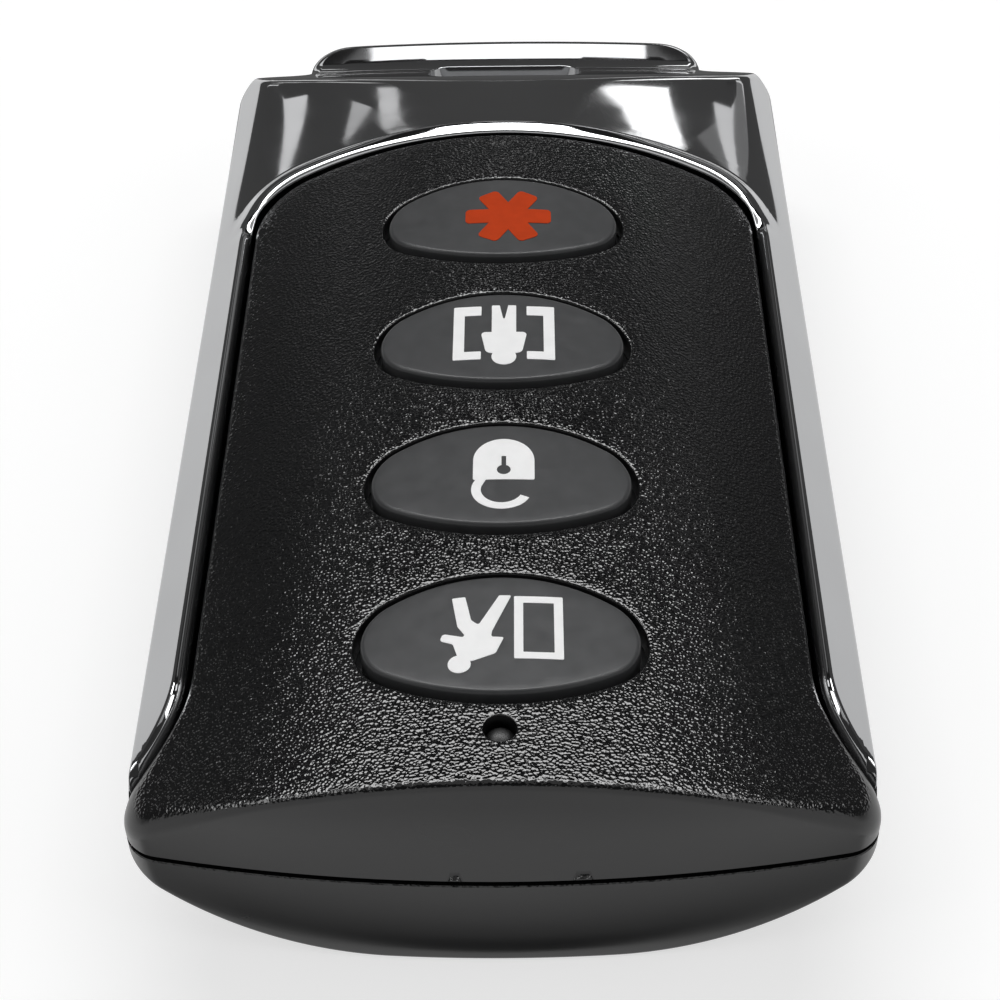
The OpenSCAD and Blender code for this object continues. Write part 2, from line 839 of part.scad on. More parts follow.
// Lip under the far edge of the front cover
module arch_lip() {
    intersection() {
        slab(parting_z, face_z) intersection() {
            translate([-skirt_half, arch_y - arch_corner_r - arch_bulge])
                square([2 * skirt_half, 2 * arch_corner_r + arch_bulge]);
            difference() {
                face_outline(2 * seam_gap);
                translate([0, -trim_wall]) face_outline(0);
            }
        }
        difference() {
            along_case(crown_r - front_wall - web_bond, crown_c);
            along_case(crown_r - front_wall - web_bond - trim_wall, crown_c);
        }
    }
}

// Turned form that rounds the edges of the lug's outer side
module lug_end_form() {
    turn_r = lug_r - bar_edge_r;
    translate([0, far_y - lug_r, 0])
        rotate_extrude($fn = fine)
            polygon(concat(
                [[0, lug_under_z]],
                arc([turn_r, lug_under_z + bar_edge_r], bar_edge_r, 270, 360, edge_steps),
                arc([turn_r, lug_top_z - bar_edge_r], bar_edge_r, 0, 90, edge_steps),
                [[0, lug_top_z]]
            ));
}

// Key-ring lug, level past the foot of the end bevel
module lug() {
    level_y = facet_end_y + (facet_end_z - lug_top_z) / tan(bevel_tilt);
    intersection() {
        slab(lug_under_z, lug_top_z) difference() {
            lug_outline();
            translate([-case_w, -far]) square([2 * case_w, far + slot_near_y - slot_wall]);
        }
        lug_end_form();
        union() {
            falling_crown(bevel_r, bevel_tilt, 0);
            translate([-case_w, level_y, 0]) cube([2 * case_w, case_l, face_z]);
        }
    }
}

module keypad_web() {
    color([0.42, 0.43, 0.45]) difference() {
        intersection() {
            slab(parting_z, face_z)
                translate([-web_half, web_near_y]) square([2 * web_half, web_far_y - web_near_y]);
            along_case(crown_r - front_wall - web_bond, crown_c);
        }
        along_case(crown_r - front_wall - web_bond - web_t, crown_c);
        for (y = key_ys)
            slab(0, 2 * face_z) translate([0, y])
                oval(
                    key_w + 2 * (flange_over + web_gap),
                    key_l + 2 * web_gap,
                    key_end_r + web_gap
                );
        translate([0, led_y, 0])
            cylinder(d = pipe_d + 2 * collar_over + 2 * web_gap, h = 2 * face_z, $fn = small);
    }
}

module light_pipe() {
    dome_r = arc_r(pipe_d / 2, pipe_dome);
    collar_top_z = face_at(pipe_d / 2 + collar_over, front_wall) - web_bond;
    top_z = face_z - pipe_sunk;
    pipe_under_z = board_top_z + led_h + pipe_led_gap;
    color([0.75, 0.76, 0.78, 0.6]) translate([0, led_y, 0]) {
        intersection() {
            translate([0, 0, pipe_under_z]) cylinder(d = pipe_d, h = top_z - pipe_under_z, $fn = small);
            translate([0, 0, top_z - dome_r]) union() {
                sphere(r = dome_r, $fn = small);
                translate([0, 0, -face_z]) cylinder(d = 2 * pipe_d, h = face_z, $fn = small);
            }
        }
        translate([0, 0, collar_top_z - collar_t])
            cylinder(d = pipe_d + 2 * collar_over, h = collar_t, $fn = small);
    }
}

// Keys

module key(i) {
    color(KEY_GREY) translate([0, key_y(i), 0]) {
        intersection() {
            slab(flange_under_z, face_z + 2 * key_proud) oval(key_w, key_l, key_end_r);
            along_case(crown_r + key_proud, crown_c);
        }
        intersection() {
            slab(flange_under_z, face_z)
                oval(key_w + 2 * flange_over, key_l - 2 * flange_in, key_end_r);
            along_case(crown_r - front_wall - flange_gap, crown_c);
        }
        translate([0, 0, plunger_top_z]) cylinder(d = stem_d, h = stem_l + eps, $fn = small);
    }
}

module arm_key() key(0);
module disarm_key() key(1);
module stay_key() key(2);
module panic_key() key(3);

// Key switches

module switch_base(i) {
    color(CHIP_BLACK) translate([0, key_y(i), 0]) difference() {
        translate([-switch_w / 2, -switch_l / 2, board_top_z])
            cube([switch_w, switch_l, base_top_z - board_top_z]);
        translate([0, 0, dome_floor_z]) cylinder(d = recess_d, h = switch_h, $fn = small);
    }
}

module switch_dome(i) {
    dome_r = arc_r(dome_d / 2, dome_rise);
    color(STEEL) translate([0, key_y(i), dome_floor_z]) intersection() {
        translate([0, 0, dome_rise - dome_r]) difference() {
            sphere(r = dome_r, $fn = small);
            sphere(r = dome_r - dome_t, $fn = small);
        }
        cylinder(d = dome_d, h = 2 * dome_rise, $fn = small);
    }
}

module switch_plunger(i) {
    color([0.75, 0.30, 0.20]) translate([0, key_y(i), 0]) {
        translate([0, 0, plunger_under_z])
            cylinder(d = plunger_flange_d, h = plunger_flange_t, $fn = small);
        translate([0, 0, plunger_under_z])
            cylinder(d = plunger_d, h = plunger_top_z - plunger_under_z, $fn = small);
    }
}

module switch_plate(i) {
    color(STEEL) translate([0, key_y(i), base_top_z]) difference() {
        translate([-switch_w / 2, -switch_l / 2, 0]) cube([switch_w, switch_l, plate_t]);
        translate([0, 0, -beyond])
            cylinder(d = plunger_d + 2 * plunger_play, h = plate_t + 2 * beyond, $fn = small);
    }
}

module arm_switch_base() switch_base(0);
module arm_switch_dome() switch_dome(0);
module arm_switch_plunger() switch_plunger(0);
module arm_switch_plate() switch_plate(0);
module disarm_switch_base() switch_base(1);
module disarm_switch_dome() switch_dome(1);
module disarm_switch_plunger() switch_plunger(1);
module disarm_switch_plate() switch_plate(1);
module stay_switch_base() switch_base(2);
module stay_switch_dome() switch_dome(2);
module stay_switch_plunger() switch_plunger(2);
module stay_switch_plate() switch_plate(2);
module panic_switch_base() switch_base(3);
module panic_switch_dome() switch_dome(3);
module panic_switch_plunger() switch_plunger(3);
module panic_switch_plate() switch_plate(3);

// Circuit board and what it carries

module circuit_board() {
    color([0.10, 0.33, 0.20]) difference() {
        slab(board_under_z, board_top_z)
            rounded_strip(board_half, board_near_y, board_far_y, board_corner_r);
        for (x = [-post_x, post_x], y = [post_near_y, post_far_y])
            translate([x, y, 0]) cylinder(d = peg_d + 2 * peg_play, h = face_z, $fn = small);
    }
}

// Block that sits on the board, centred on a point
module on_board(x, y, w, l, h) {
    translate([x - w / 2, y - l / 2, board_top_z + solder_gap]) cube([w, l, h]);
}

// Square chip with a row of leads along two sides
module leaded_chip(x, y, side, h, leads) {
    lead_w = 0.3;
    lead_reach = 0.6;
    lead_t = 0.15;
    on_board(x, y, side, side, h);
    for (n = [0 : leads - 1])
        on_board(x, y + (n + 0.5 - leads / 2) * side / leads, side + 2 * lead_reach, lead_w, lead_t);
}

module status_led() {
    color([0.85, 0.84, 0.70]) on_board(0, led_y, led_w, led_l, led_h);
}

module controller_chip() {
    chip_x = board_half / 2 + controller_side / 2;
    color(CHIP_BLACK)
        leaded_chip(chip_x, between_keys_y(0), controller_side, controller_h, controller_leads);
}

module transmitter_chip() {
    chip_x = -board_half / 2 - transmitter_side / 2;
    color(CHIP_BLACK)
        leaded_chip(chip_x, between_keys_y(1), transmitter_side, transmitter_h, transmitter_leads);
}

module saw_resonator() {
    can_x = -board_half / 2 - resonator_side / 2;
    color(STEEL) on_board(can_x, key_y(2), resonator_side, resonator_side, resonator_h);
}

module clock_crystal() {
    color(STEEL) on_board(board_half / 2 + crystal_w / 2, key_y(1), crystal_w, crystal_l, crystal_h);
}

// Wire loop that stands on two feet at the key-ring end of the board
module loop_antenna() {
    near_loop_y = post_far_y - post_d - loop_l;
    wire_z = board_top_z + solder_gap + wire_d / 2;
    far_run = loop_w - 2 * loop_bend_r;
    side_run = loop_l - loop_bend_r;
    color([0.80, 0.52, 0.25]) translate([0, near_loop_y, wire_z]) {
        for (side = [-1, 1]) {
            translate([side * loop_w / 2, side_run, 0])
                rotate([90, 0, 0]) cylinder(d = wire_d, h = side_run, $fn = small);
            translate([side * far_run / 2, side_run, 0])
                rotate([0, 0, side > 0 ? 0 : 90])
                    rotate_extrude(angle = 90, $fn = small)
                        translate([loop_bend_r, 0]) circle(d = wire_d, $fn = small);
        }
        translate([0, loop_l, 0])
            rotate([0, 90, 0]) cylinder(d = wire_d, h = far_run, center = true, $fn = small);
    }
}

module chip_capacitors() {
    color([0.70, 0.60, 0.45]) {
        for (x = [-1, 1], n = [0 : 1])
            on_board(x * capacitor_w, between_keys_y(n), capacitor_w, chip_l, chip_h);
        for (x = [-1, 1])
            on_board(x * board_half / 3, key_y(3) + switch_l, capacitor_w, chip_l, chip_h);
    }
}

module chip_resistors() {
    color([0.20, 0.20, 0.22])
        for (x = [-1, 1], i = [0 : len(KEY_NAMES) - 1])
            on_board(x * (switch_w / 2 + resistor_w), key_y(i), resistor_w, chip_l, chip_h);
}

// Coin cell

module cell_can() {
    color(STEEL) translate([0, cell_y, cell_z]) difference() {
        cylinder(r = cell_r, h = can_rim_z - cell_z, $fn = fine);
        translate([0, 0, can_t]) cylinder(r = cell_r - can_t, h = cell_t, $fn = fine);
    }
}

module cell_gasket() {
    color([0.25, 0.28, 0.30]) translate([0, cell_y, cell_z + can_t + cell_fit]) difference() {
        cylinder(r = cell_r - can_t - cell_fit, h = can_rim_z - cell_z - can_t, $fn = fine);
        translate([0, 0, -beyond]) cylinder(r = cap_r + cell_fit, h = cell_t + 2 * beyond, $fn = fine);
    }
}

module cell_cap() {
    color([0.78, 0.78, 0.76]) translate([0, cell_y, cell_z + can_t + cell_fit])
        cylinder(r = cap_r, h = cell_t - can_t - cell_fit, $fn = fine);
}

// Solder pad under the board with a leg down beside the cell
module positive_contact() {
    leg_y = cell_y + cell_r + contact_gap;
    leg_z = cell_z + cell_t / 2;
    color(STEEL) translate([-contact_w / 2, leg_y, 0]) {
        translate([0, 0, leg_z]) cube([contact_w, contact_t, board_under_z - leg_z]);
        translate([0, 0, board_under_z - contact_t]) cube([contact_w, contact_pad_l, contact_t]);
    }
}

// Solder pad under the board with a spring arm down to the cell's cap
module negative_contact() {
    arm_z = cell_top_z + contact_gap;
    top_z = board_under_z;
    color(STEEL) translate([0, cell_y, 0])
        rotate([90, 0, 0])
            linear_extrude(height = contact_w, center = true)
                polygon([
                    [-contact_pad_l, top_z],
                    [-contact_pad_l, top_z - contact_t],
                    [0, top_z - contact_t],
                    [contact_arm_l - contact_foot_l, arm_z],
                    [contact_arm_l, arm_z],
                    [contact_arm_l, arm_z + contact_t],
                    [contact_arm_l - contact_foot_l, arm_z + contact_t],
                    [contact_t, top_z]
                ]);
}

front_cover();
rear_cover();
trim_frame();
keypad_web();
light_pipe();
arm_key();
disarm_key();
stay_key();
panic_key();
circuit_board();
status_led();
controller_chip();
transmitter_chip();
saw_resonator();
clock_crystal();
loop_antenna();
chip_capacitors();
chip_resistors();
cell_can();
cell_gasket();
cell_cap();
positive_contact();
negative_contact();
arm_switch_base();
arm_switch_dome();
arm_switch_plunger();
arm_switch_plate();
disarm_switch_base();
disarm_switch_dome();
disarm_switch_plunger();
disarm_switch_plate();
stay_switch_base();
stay_switch_dome();
stay_switch_plunger();
stay_switch_plate();
panic_switch_base();
panic_switch_dome();
panic_switch_plunger();
panic_switch_plate();
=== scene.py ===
"""Looks of an alarm key fob: grained black case, plated trim frame, satin keys and pictograms.

Sizes are in millimetres in the part's own frame: +Y points to the key-ring lug and +Z up through
the keys. Meshes are scaled to metres when they are made.
"""

import json
import logging
import math
from collections.abc import Callable, Sequence
from dataclasses import dataclass, field
from enum import Enum

import bmesh
import bpy
import numpy as np
from mathutils import Matrix, Vector
from mathutils.geometry import delaunay_2d_cdt


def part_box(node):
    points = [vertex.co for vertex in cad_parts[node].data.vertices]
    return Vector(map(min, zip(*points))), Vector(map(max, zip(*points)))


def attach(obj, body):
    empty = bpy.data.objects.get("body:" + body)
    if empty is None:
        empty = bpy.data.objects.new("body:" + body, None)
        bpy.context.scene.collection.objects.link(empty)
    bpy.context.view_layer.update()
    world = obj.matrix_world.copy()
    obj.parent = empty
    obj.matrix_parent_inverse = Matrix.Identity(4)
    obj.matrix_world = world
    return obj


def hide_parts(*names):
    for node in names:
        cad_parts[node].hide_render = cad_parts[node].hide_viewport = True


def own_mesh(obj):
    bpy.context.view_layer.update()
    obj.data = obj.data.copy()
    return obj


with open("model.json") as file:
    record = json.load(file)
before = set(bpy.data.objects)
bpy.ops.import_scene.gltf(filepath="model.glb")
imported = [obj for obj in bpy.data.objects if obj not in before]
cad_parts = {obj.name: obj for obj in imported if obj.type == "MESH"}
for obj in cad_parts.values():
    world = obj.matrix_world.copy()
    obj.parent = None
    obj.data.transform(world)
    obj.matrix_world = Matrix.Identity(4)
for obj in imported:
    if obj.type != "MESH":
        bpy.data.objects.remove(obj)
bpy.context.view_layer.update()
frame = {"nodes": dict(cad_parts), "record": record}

MM = 0.001
LOG = logging.getLogger("key_fob")
# Points that one pass of a distance or an inside test takes.
CHUNK = 1500
# Angle, in degrees, above which an edge stays sharp.
SHARP = 38.0
# Distances, in millimetres, below which points are welded and slivers are dissolved.
WELD = 2e-4
SLIVER = 1e-4
# Runs of points down a shell's wall.
WALL_RUNS = 9
# Steps over a wide round.
WIDE_STEPS = 6

Colour = tuple[float, float, float]
Height = Callable[[np.ndarray, np.ndarray], np.ndarray]
Lean = Callable[[np.ndarray], np.ndarray]
Drawing = tuple[list[np.ndarray], list[np.ndarray]]


class Detail(Enum):
    """Kinds of fine detail that a finish can show."""

    GRAIN = "leather grain on level faces, satin elsewhere"
    SATIN = "moulded satin"
    PLATED = "bright plating"
    BRUSHED = "rolled or brushed metal"
    CLEAR = "clear moulding"


class KeyName(Enum):
    """The four keys, from the near end to the lug."""

    ARM = "arm"
    DISARM = "disarm"
    STAY = "stay"
    PANIC = "panic"


class Paint:
    """Adds and joins the shader nodes of one material."""

    def __init__(self, tree: bpy.types.NodeTree) -> None:
        """Keeps the tree and adds the coordinates that every texture uses."""
        self.tree = tree
        self.coords = self.add("ShaderNodeTexCoord").outputs["Object"]

    def add(self, kind: str, **values: object) -> bpy.types.Node:
        """Adds a node.

        Args:
            kind: The node's type name.
            **values: Values for the node's properties.

        Returns:
            The new node.
        """
        node = self.tree.nodes.new(kind)
        for name, value in values.items():
            setattr(node, name, value)
        return node

    def feed(self, node: bpy.types.Node, **inputs: object) -> bpy.types.Node:
        """Sets or joins a node's inputs.

        Args:
            node: The node.
            **inputs: A socket to join or a value to set, by input name with _ for each blank.

        Returns:
            The same node.
        """
        for name, value in inputs.items():
            socket = node.inputs[name.replace("_", " ")]
            if isinstance(value, bpy.types.NodeSocket):
                self.tree.links.new(value, socket)
            else:
                socket.default_value = value
        return node

    def noise(self, size: float, detail: float = 2.0, stretch: Colour = (1, 1, 1)) -> bpy.types.NodeSocket:
        """Gives a noise texture.

        Args:
            size: Size of its lumps, in millimetres.
            detail: Number of finer octaves.
            stretch: Factor on the coordinates along each axis.

        Returns:
            The socket of its level, from 0 to 1.
        """
        mapping = self.feed(self.add("ShaderNodeMapping"), Vector=self.coords, Scale=stretch)
        node = self.add("ShaderNodeTexNoise")
        self.feed(node, Vector=mapping.outputs["Vector"], Scale=1 / (size * MM), Detail=detail)
        return node.outputs["Fac"]

    def cells(self, size: float, smooth: float = 0.35) -> bpy.types.NodeSocket:
        """Gives the distance to the middle of cells.

        Args:
            size: Size of the cells, in millimetres.
            smooth: How far they melt into each other.

        Returns:
            The socket of the distance.
        """
        node = self.add("ShaderNodeTexVoronoi", feature="SMOOTH_F1")
        self.feed(node, Vector=self.coords, Scale=1 / (size * MM), Smoothness=smooth)
        return node.outputs["Distance"]

    def spread(
        self, level: bpy.types.NodeSocket, low: float, high: float, start: float = 0.25, stop: float = 0.75
    ) -> bpy.types.NodeSocket:
        """Maps a level to a range.

        Args:
            level: The socket to map.
            low: Result at start.
            high: Result at stop.
            start: Level that gives low.
            stop: Level that gives high.

        Returns:
            The socket of the result.
        """
        node = self.add("ShaderNodeMapRange")
        self.feed(node, Value=level, From_Min=start, From_Max=stop, To_Min=low, To_Max=high)
        return node.outputs["Result"]

    def plus(self, first: bpy.types.NodeSocket, second: bpy.types.NodeSocket) -> bpy.types.NodeSocket:
        """Adds two levels.

        Args:
            first: One level.
            second: The other level.

        Returns:
            The socket of the sum.
        """
        node = self.add("ShaderNodeMath", operation="ADD")
        self.tree.links.new(first, node.inputs[0])
        self.tree.links.new(second, node.inputs[1])
        return node.outputs[0]

    def tint(
        self,
        level: bpy.types.NodeSocket,
        colour: Colour,
        swing: float,
        stops: tuple[float, float] = (0.3, 0.7),
    ) -> bpy.types.NodeSocket:
        """Varies a colour with a level.

        Args:
            level: Level from 0 to 1.
            colour: The middle colour, linear.
            swing: Share by which the colour falls and rises.
            stops: Levels of the darkest and the lightest colour.

        Returns:
            The socket of the colour.
        """
        ramp = self.add("ShaderNodeValToRGB")
        for element, factor, stop in zip(ramp.color_ramp.elements, (1 - swing, 1 + swing), stops):
            element.color = (*(min(1.0, channel * factor) for channel in colour), 1)
            element.position = stop
        self.tree.links.new(level, ramp.inputs["Fac"])
        return ramp.outputs["Color"]

    def bump(self, level: bpy.types.NodeSocket, depth: float, strength: object) -> bpy.types.NodeSocket:
        """Gives a bumped normal.

        Args:
            level: Level of the relief.
            depth: Height of the relief, in millimetres.
            strength: Strength, as a number or a socket.

        Returns:
            The socket of the normal.
        """
        node = self.add("ShaderNodeBump")
        self.feed(node, Height=level, Distance=depth * MM, Strength=strength)
        return node.outputs["Normal"]

    def level_faces(self, start: float, stop: float) -> bpy.types.NodeSocket:
        """Tells how level a face is.

        Args:
            start: Z of the normal that gives 0.
            stop: Z of the normal that gives 1.

        Returns:
            The socket of the level, from 0 to 1.
        """
        geometry = self.add("ShaderNodeNewGeometry")
        split = self.add("ShaderNodeSeparateXYZ")
        self.tree.links.new(geometry.outputs["Normal"], split.inputs["Vector"])
        return self.spread(split.outputs["Z"], 0.0, 1.0, start, stop)


@dataclass(frozen=True)
class Finish:
    """One finish of a surface, drawn with shader nodes."""

    name: str
    colour: Colour
    detail: Detail
    roughness: float
    metallic: float = 0.0
    specular: float = 0.5
    cell: float = 0.3
    depth: float = 0.006
    swing: float = 0.08
    side_roughness: float = 0.3
    # Z of a face's normal where the grain begins, and where it is full.
    LEVEL = (0.62, 0.8)
    # Pits in the grain: their size and depth as shares of the cells', and the noise levels that they span.
    PIT_SIZE = 0.8
    PIT_DEPTH = 0.25
    PIT_SPAN = (0.2, 0.8)
    # Patches of differing gloss on the grain: their size in millimetres, and the swing of the roughness.
    PATCH = 6.0
    PATCH_SWING = 0.03
    # Size of a satin skin's gloss and colour patches in cells, and the swing of its roughness.
    SKIN_GLOSS = 8
    SKIN_TINT = 12
    SKIN_SWING = 0.04
    # Plating: size of its haze and tint in millimetres, and its least and most roughness as shares.
    HAZE_SIZE = 3.0
    PLATE_TINT = 7.0
    HAZE = (0.6, 1.5)
    # Lines on rolled metal: their stretch, and the fall and rise of the roughness.
    LINES = (0.06, 1.0, 1.0)
    LINE_SWING = (-0.08, 0.1)
    # Clear plastic: the light that it lets through, its refractive index, the sizes of its flow marks and
    # their rise in roughness.
    THROUGH = 0.3
    INDEX = 1.49
    FLOW_GLOSS = 0.8
    FLOW_TINT = 0.5
    FLOW_RISE = 0.1

    def material(self) -> bpy.types.Material:
        """Gives the finish's material, and makes it the first time.

        Returns:
            The material.
        """
        found = bpy.data.materials.get(self.name)
        if found:
            return found
        material = bpy.data.materials.new(self.name)
        material.use_nodes = True
        shader = material.node_tree.nodes["Principled BSDF"]
        paint = Paint(material.node_tree)
        shader.inputs["Metallic"].default_value = self.metallic
        shader.inputs["Specular IOR Level"].default_value = self.specular
        {
            Detail.GRAIN: self._grain,
            Detail.SATIN: self._satin,
            Detail.PLATED: self._plated,
            Detail.BRUSHED: self._brushed,
            Detail.CLEAR: self._clear,
        }[self.detail](paint, shader)
        return material

    def _grain(self, paint: Paint, shader: bpy.types.Node) -> None:
        """Joins leather grain with fine pits on level faces, and a satin skin elsewhere.

        Args:
            paint: Painter of the material.
            shader: Its shader.
        """
        level = paint.level_faces(*self.LEVEL)
        pits = paint.noise(self.cell * self.PIT_SIZE, 1.0)
        hide = paint.plus(paint.cells(self.cell), paint.spread(pits, 0.0, self.PIT_DEPTH, *self.PIT_SPAN))
        patches = paint.spread(paint.noise(self.PATCH), -self.PATCH_SWING, self.PATCH_SWING)
        rough = paint.plus(paint.spread(level, self.side_roughness, self.roughness), patches)
        colour = paint.tint(paint.noise(self.cell * 2), self.colour, self.swing)
        relief = paint.bump(hide, self.depth, strength=level)
        paint.feed(shader, Base_Color=colour, Roughness=rough, Normal=relief)

    def _satin(self, paint: Paint, shader: bpy.types.Node) -> None:
        """Joins the fine, even skin of a moulding.

        Args:
            paint: Painter of the material.
            shader: Its shader.
        """
        low, high = self.roughness - self.SKIN_SWING, self.roughness + self.SKIN_SWING
        rough = paint.spread(paint.noise(self.cell * self.SKIN_GLOSS), low, high)
        colour = paint.tint(paint.noise(self.cell * self.SKIN_TINT), self.colour, self.swing)
        relief = paint.bump(paint.noise(self.cell, 3.0), self.depth, strength=0.6)
        paint.feed(shader, Base_Color=colour, Roughness=rough, Normal=relief)

    def _plated(self, paint: Paint, shader: bpy.types.Node) -> None:
        """Joins bright plating with a faint haze and the long ripple of the plastic under it.

        Args:
            paint: Painter of the material.
            shader: Its shader.
        """
        low, high = (self.roughness * share for share in self.HAZE)
        haze = paint.spread(paint.noise(self.HAZE_SIZE, 4.0), low, high)
        colour = paint.tint(paint.noise(self.PLATE_TINT), self.colour, self.swing)
        relief = paint.bump(paint.noise(self.cell, 1.0), self.depth, strength=0.5)
        paint.feed(shader, Base_Color=colour, Roughness=haze, Normal=relief)

    def _brushed(self, paint: Paint, shader: bpy.types.Node) -> None:
        """Joins rolled sheet with fine lines along X.

        Args:
            paint: Painter of the material.
            shader: Its shader.
        """
        lines = paint.noise(self.cell, 3.0, self.LINES)
        low, high = (self.roughness + swing for swing in self.LINE_SWING)
        colour = paint.tint(lines, self.colour, self.swing)
        relief = paint.bump(lines, self.depth, strength=0.5)
        paint.feed(shader, Base_Color=colour, Roughness=paint.spread(lines, low, high), Normal=relief)

    def _clear(self, paint: Paint, shader: bpy.types.Node) -> None:
        """Joins smoked clear plastic with faint flow marks.

        Args:
            paint: Painter of the material.
            shader: Its shader.
        """
        paint.feed(shader, Transmission_Weight=self.THROUGH, IOR=self.INDEX)
        rough = paint.spread(paint.noise(self.FLOW_GLOSS), self.roughness, self.roughness + self.FLOW_RISE)
        colour = paint.tint(paint.noise(self.FLOW_TINT), self.colour, self.swing)
        paint.feed(shader, Base_Color=colour, Roughness=rough)


FINISHES = {
    "case_black": Finish(
        "grained_black", (0.006, 0.0061, 0.0065), Detail.GRAIN, 0.1, cell=0.15, depth=0.024
    ),
    "trim_chrome": Finish(
        "bright_chrome", (0.39, 0.393, 0.4), Detail.PLATED, 0.05, 1.0, cell=2.5, depth=0.0015, swing=0.03
    ),
    "key_grey": Finish(
        "moulded_key", (0.058, 0.059, 0.061), Detail.SATIN, 0.32, specular=0.2, cell=0.08, depth=0.003
    ),
    "legend_white": Finish("white_ink", (0.96, 0.96, 0.96), Detail.SATIN, 0.5, cell=0.06, swing=0.02),
    "legend_red": Finish(
        "red_ink", (0.52, 0.046, 0.004), Detail.SATIN, 0.5, specular=0.05, cell=0.06, swing=0.05
    ),
    "silicone": Finish("grey_silicone", (0.16, 0.165, 0.17), Detail.SATIN, 0.6),
    "clear_plastic": Finish("smoked_clear", (0.01, 0.01, 0.011), Detail.CLEAR, 0.45),
    "board_green": Finish("solder_mask", (0.02, 0.12, 0.05), Detail.SATIN, 0.3, swing=0.2),
    "led_body": Finish("led_resin", (0.75, 0.72, 0.5), Detail.SATIN, 0.3),
    "chip_black": Finish("chip_epoxy", (0.02, 0.02, 0.022), Detail.SATIN, 0.55),
    "can_metal": Finish("nickel_can", (0.7, 0.69, 0.66), Detail.BRUSHED, 0.28, 1.0, cell=0.1),
    "antenna_copper": Finish("copper_wire", (0.72, 0.4, 0.2), Detail.BRUSHED, 0.25, 1.0, cell=0.1),
    "capacitor_tan": Finish("fired_tan", (0.48, 0.36, 0.22), Detail.SATIN, 0.5),
    "cell_steel": Finish("cell_plate", (0.72, 0.72, 0.7), Detail.BRUSHED, 0.25, 1.0, cell=0.12),
    "gasket_black": Finish("seal_ring", (0.04, 0.045, 0.05), Detail.SATIN, 0.6),
    "contact_steel": Finish("spring_steel", (0.66, 0.65, 0.6), Detail.BRUSHED, 0.3, 1.0, cell=0.1),
    "plunger_red": Finish("red_plunger", (0.5, 0.08, 0.04), Detail.SATIN, 0.35),
}


def arc_radius(half: float, sag: float) -> float:
    """Gives the radius of an arc that rises by sag over a half width."""
    return (half * half + sag * sag) / (2 * sag)


def arc(centre: Sequence[float], radius: float, start: float, stop: float, step: float = 0.3) -> np.ndarray:
    """Gives points along an arc.

    Args:
        centre: Its centre.
        radius: Its radius.
        start: First angle, in degrees.
        stop: Last angle, in degrees.
        step: Largest distance between points.

    Returns:
        The points, one to a row.
    """
    turn = math.radians(stop - start)
    count = max(4, math.ceil(abs(turn) * radius / step))
    angles = math.radians(start) + turn * np.linspace(0, 1, count + 1)
    return np.column_stack((centre[0] + radius * np.cos(angles), centre[1] + radius * np.sin(angles)))


def joined(*runs: np.ndarray | Sequence[Sequence[float]]) -> np.ndarray:
    """Joins runs of points and drops the points that repeat.

    Args:
        *runs: The runs, in order.

    Returns:
        The points, one to a row.
    """
    points = np.vstack([np.asarray(run, float) for run in runs])
    moved = np.linalg.norm(np.diff(points, axis=0), axis=1) > 1e-6
    return points[np.concatenate(([True], moved))]


def refined(points: np.ndarray, step: float = 0.35, closed: bool = False) -> np.ndarray:
    """Splits the longer stretches of a run of points.

    Args:
        points: The points.
        step: Largest distance between points.
        closed: True if the last point joins the first.

    Returns:
        The points with the new ones between them.
    """
    ends = np.roll(points, -1, 0) if closed else points[1:]
    rows: list[np.ndarray] = []
    for first, second in zip(points, ends):
        count = max(1, math.ceil(float(np.linalg.norm(second - first)) / step))
        rows.extend(first + (second - first) * k / count for k in range(count))
    if not closed:
        rows.append(points[-1])
    return np.array(rows)


def filleted(
    corners: Sequence[tuple[float, float, float]], step: float = 0.2, closed: bool = False
) -> np.ndarray:
    """Rounds the corners of a run of straight lines.

    Args:
        corners: X, Y and radius of each corner.
        step: Largest distance between points on a round.
        closed: True if the last corner joins the first.

    Returns:
        The points, one to a row.
    """
    rows: list[np.ndarray] = []
    count = len(corners)
    for k, (x, y, radius) in enumerate(corners):
        corner = np.array((x, y))
        if radius <= 0 or (not closed and k in (0, count - 1)):
            rows.append(corner[None])
            continue
        before = np.array(corners[k - 1][:2]) - corner
        after = np.array(corners[(k + 1) % count][:2]) - corner
        before /= np.linalg.norm(before)
        after /= np.linalg.norm(after)
        half = math.acos(float(np.clip(before @ after, -1, 1))) / 2
        centre = corner + (before + after) / np.linalg.norm(before + after) * radius / math.sin(half)
        start = corner + before * radius / math.tan(half) - centre
        stop = corner + after * radius / math.tan(half) - centre
        first = math.degrees(math.atan2(start[1], start[0]))
        turn = (math.degrees(math.atan2(stop[1], stop[0])) - first + 180) % 360 - 180
        rows.append(arc(centre, radius, first, first + turn, step))
    return joined(*rows)


def mirrored(half: np.ndarray) -> np.ndarray:
    """Adds the mirror image of a run that starts and ends on the middle line, as one closed loop."""
    return np.vstack((half, (half * (-1, 1))[-2:0:-1]))


def inset(loop: np.ndarray, distance: float | np.ndarray, least: float = 0.4) -> np.ndarray:
    """Moves a closed loop to its left, with mitred corners.

    Args:
        loop: The loop.
        distance: How far it moves, for all points or for each.
        least: Limit that keeps sharp mitres short.

    Returns:
        The moved points.
    """
    ahead = np.roll(loop, -1, 0) - loop
    ahead /= np.linalg.norm(ahead, axis=1)[:, None]
    left = np.column_stack((-ahead[:, 1], ahead[:, 0]))
    behind = np.roll(left, 1, 0)
    mitre = (left + behind) / np.maximum(1 + (left * behind).sum(1), least)[:, None]
    return loop + mitre * np.broadcast_to(np.asarray(distance, float), len(loop))[:, None]


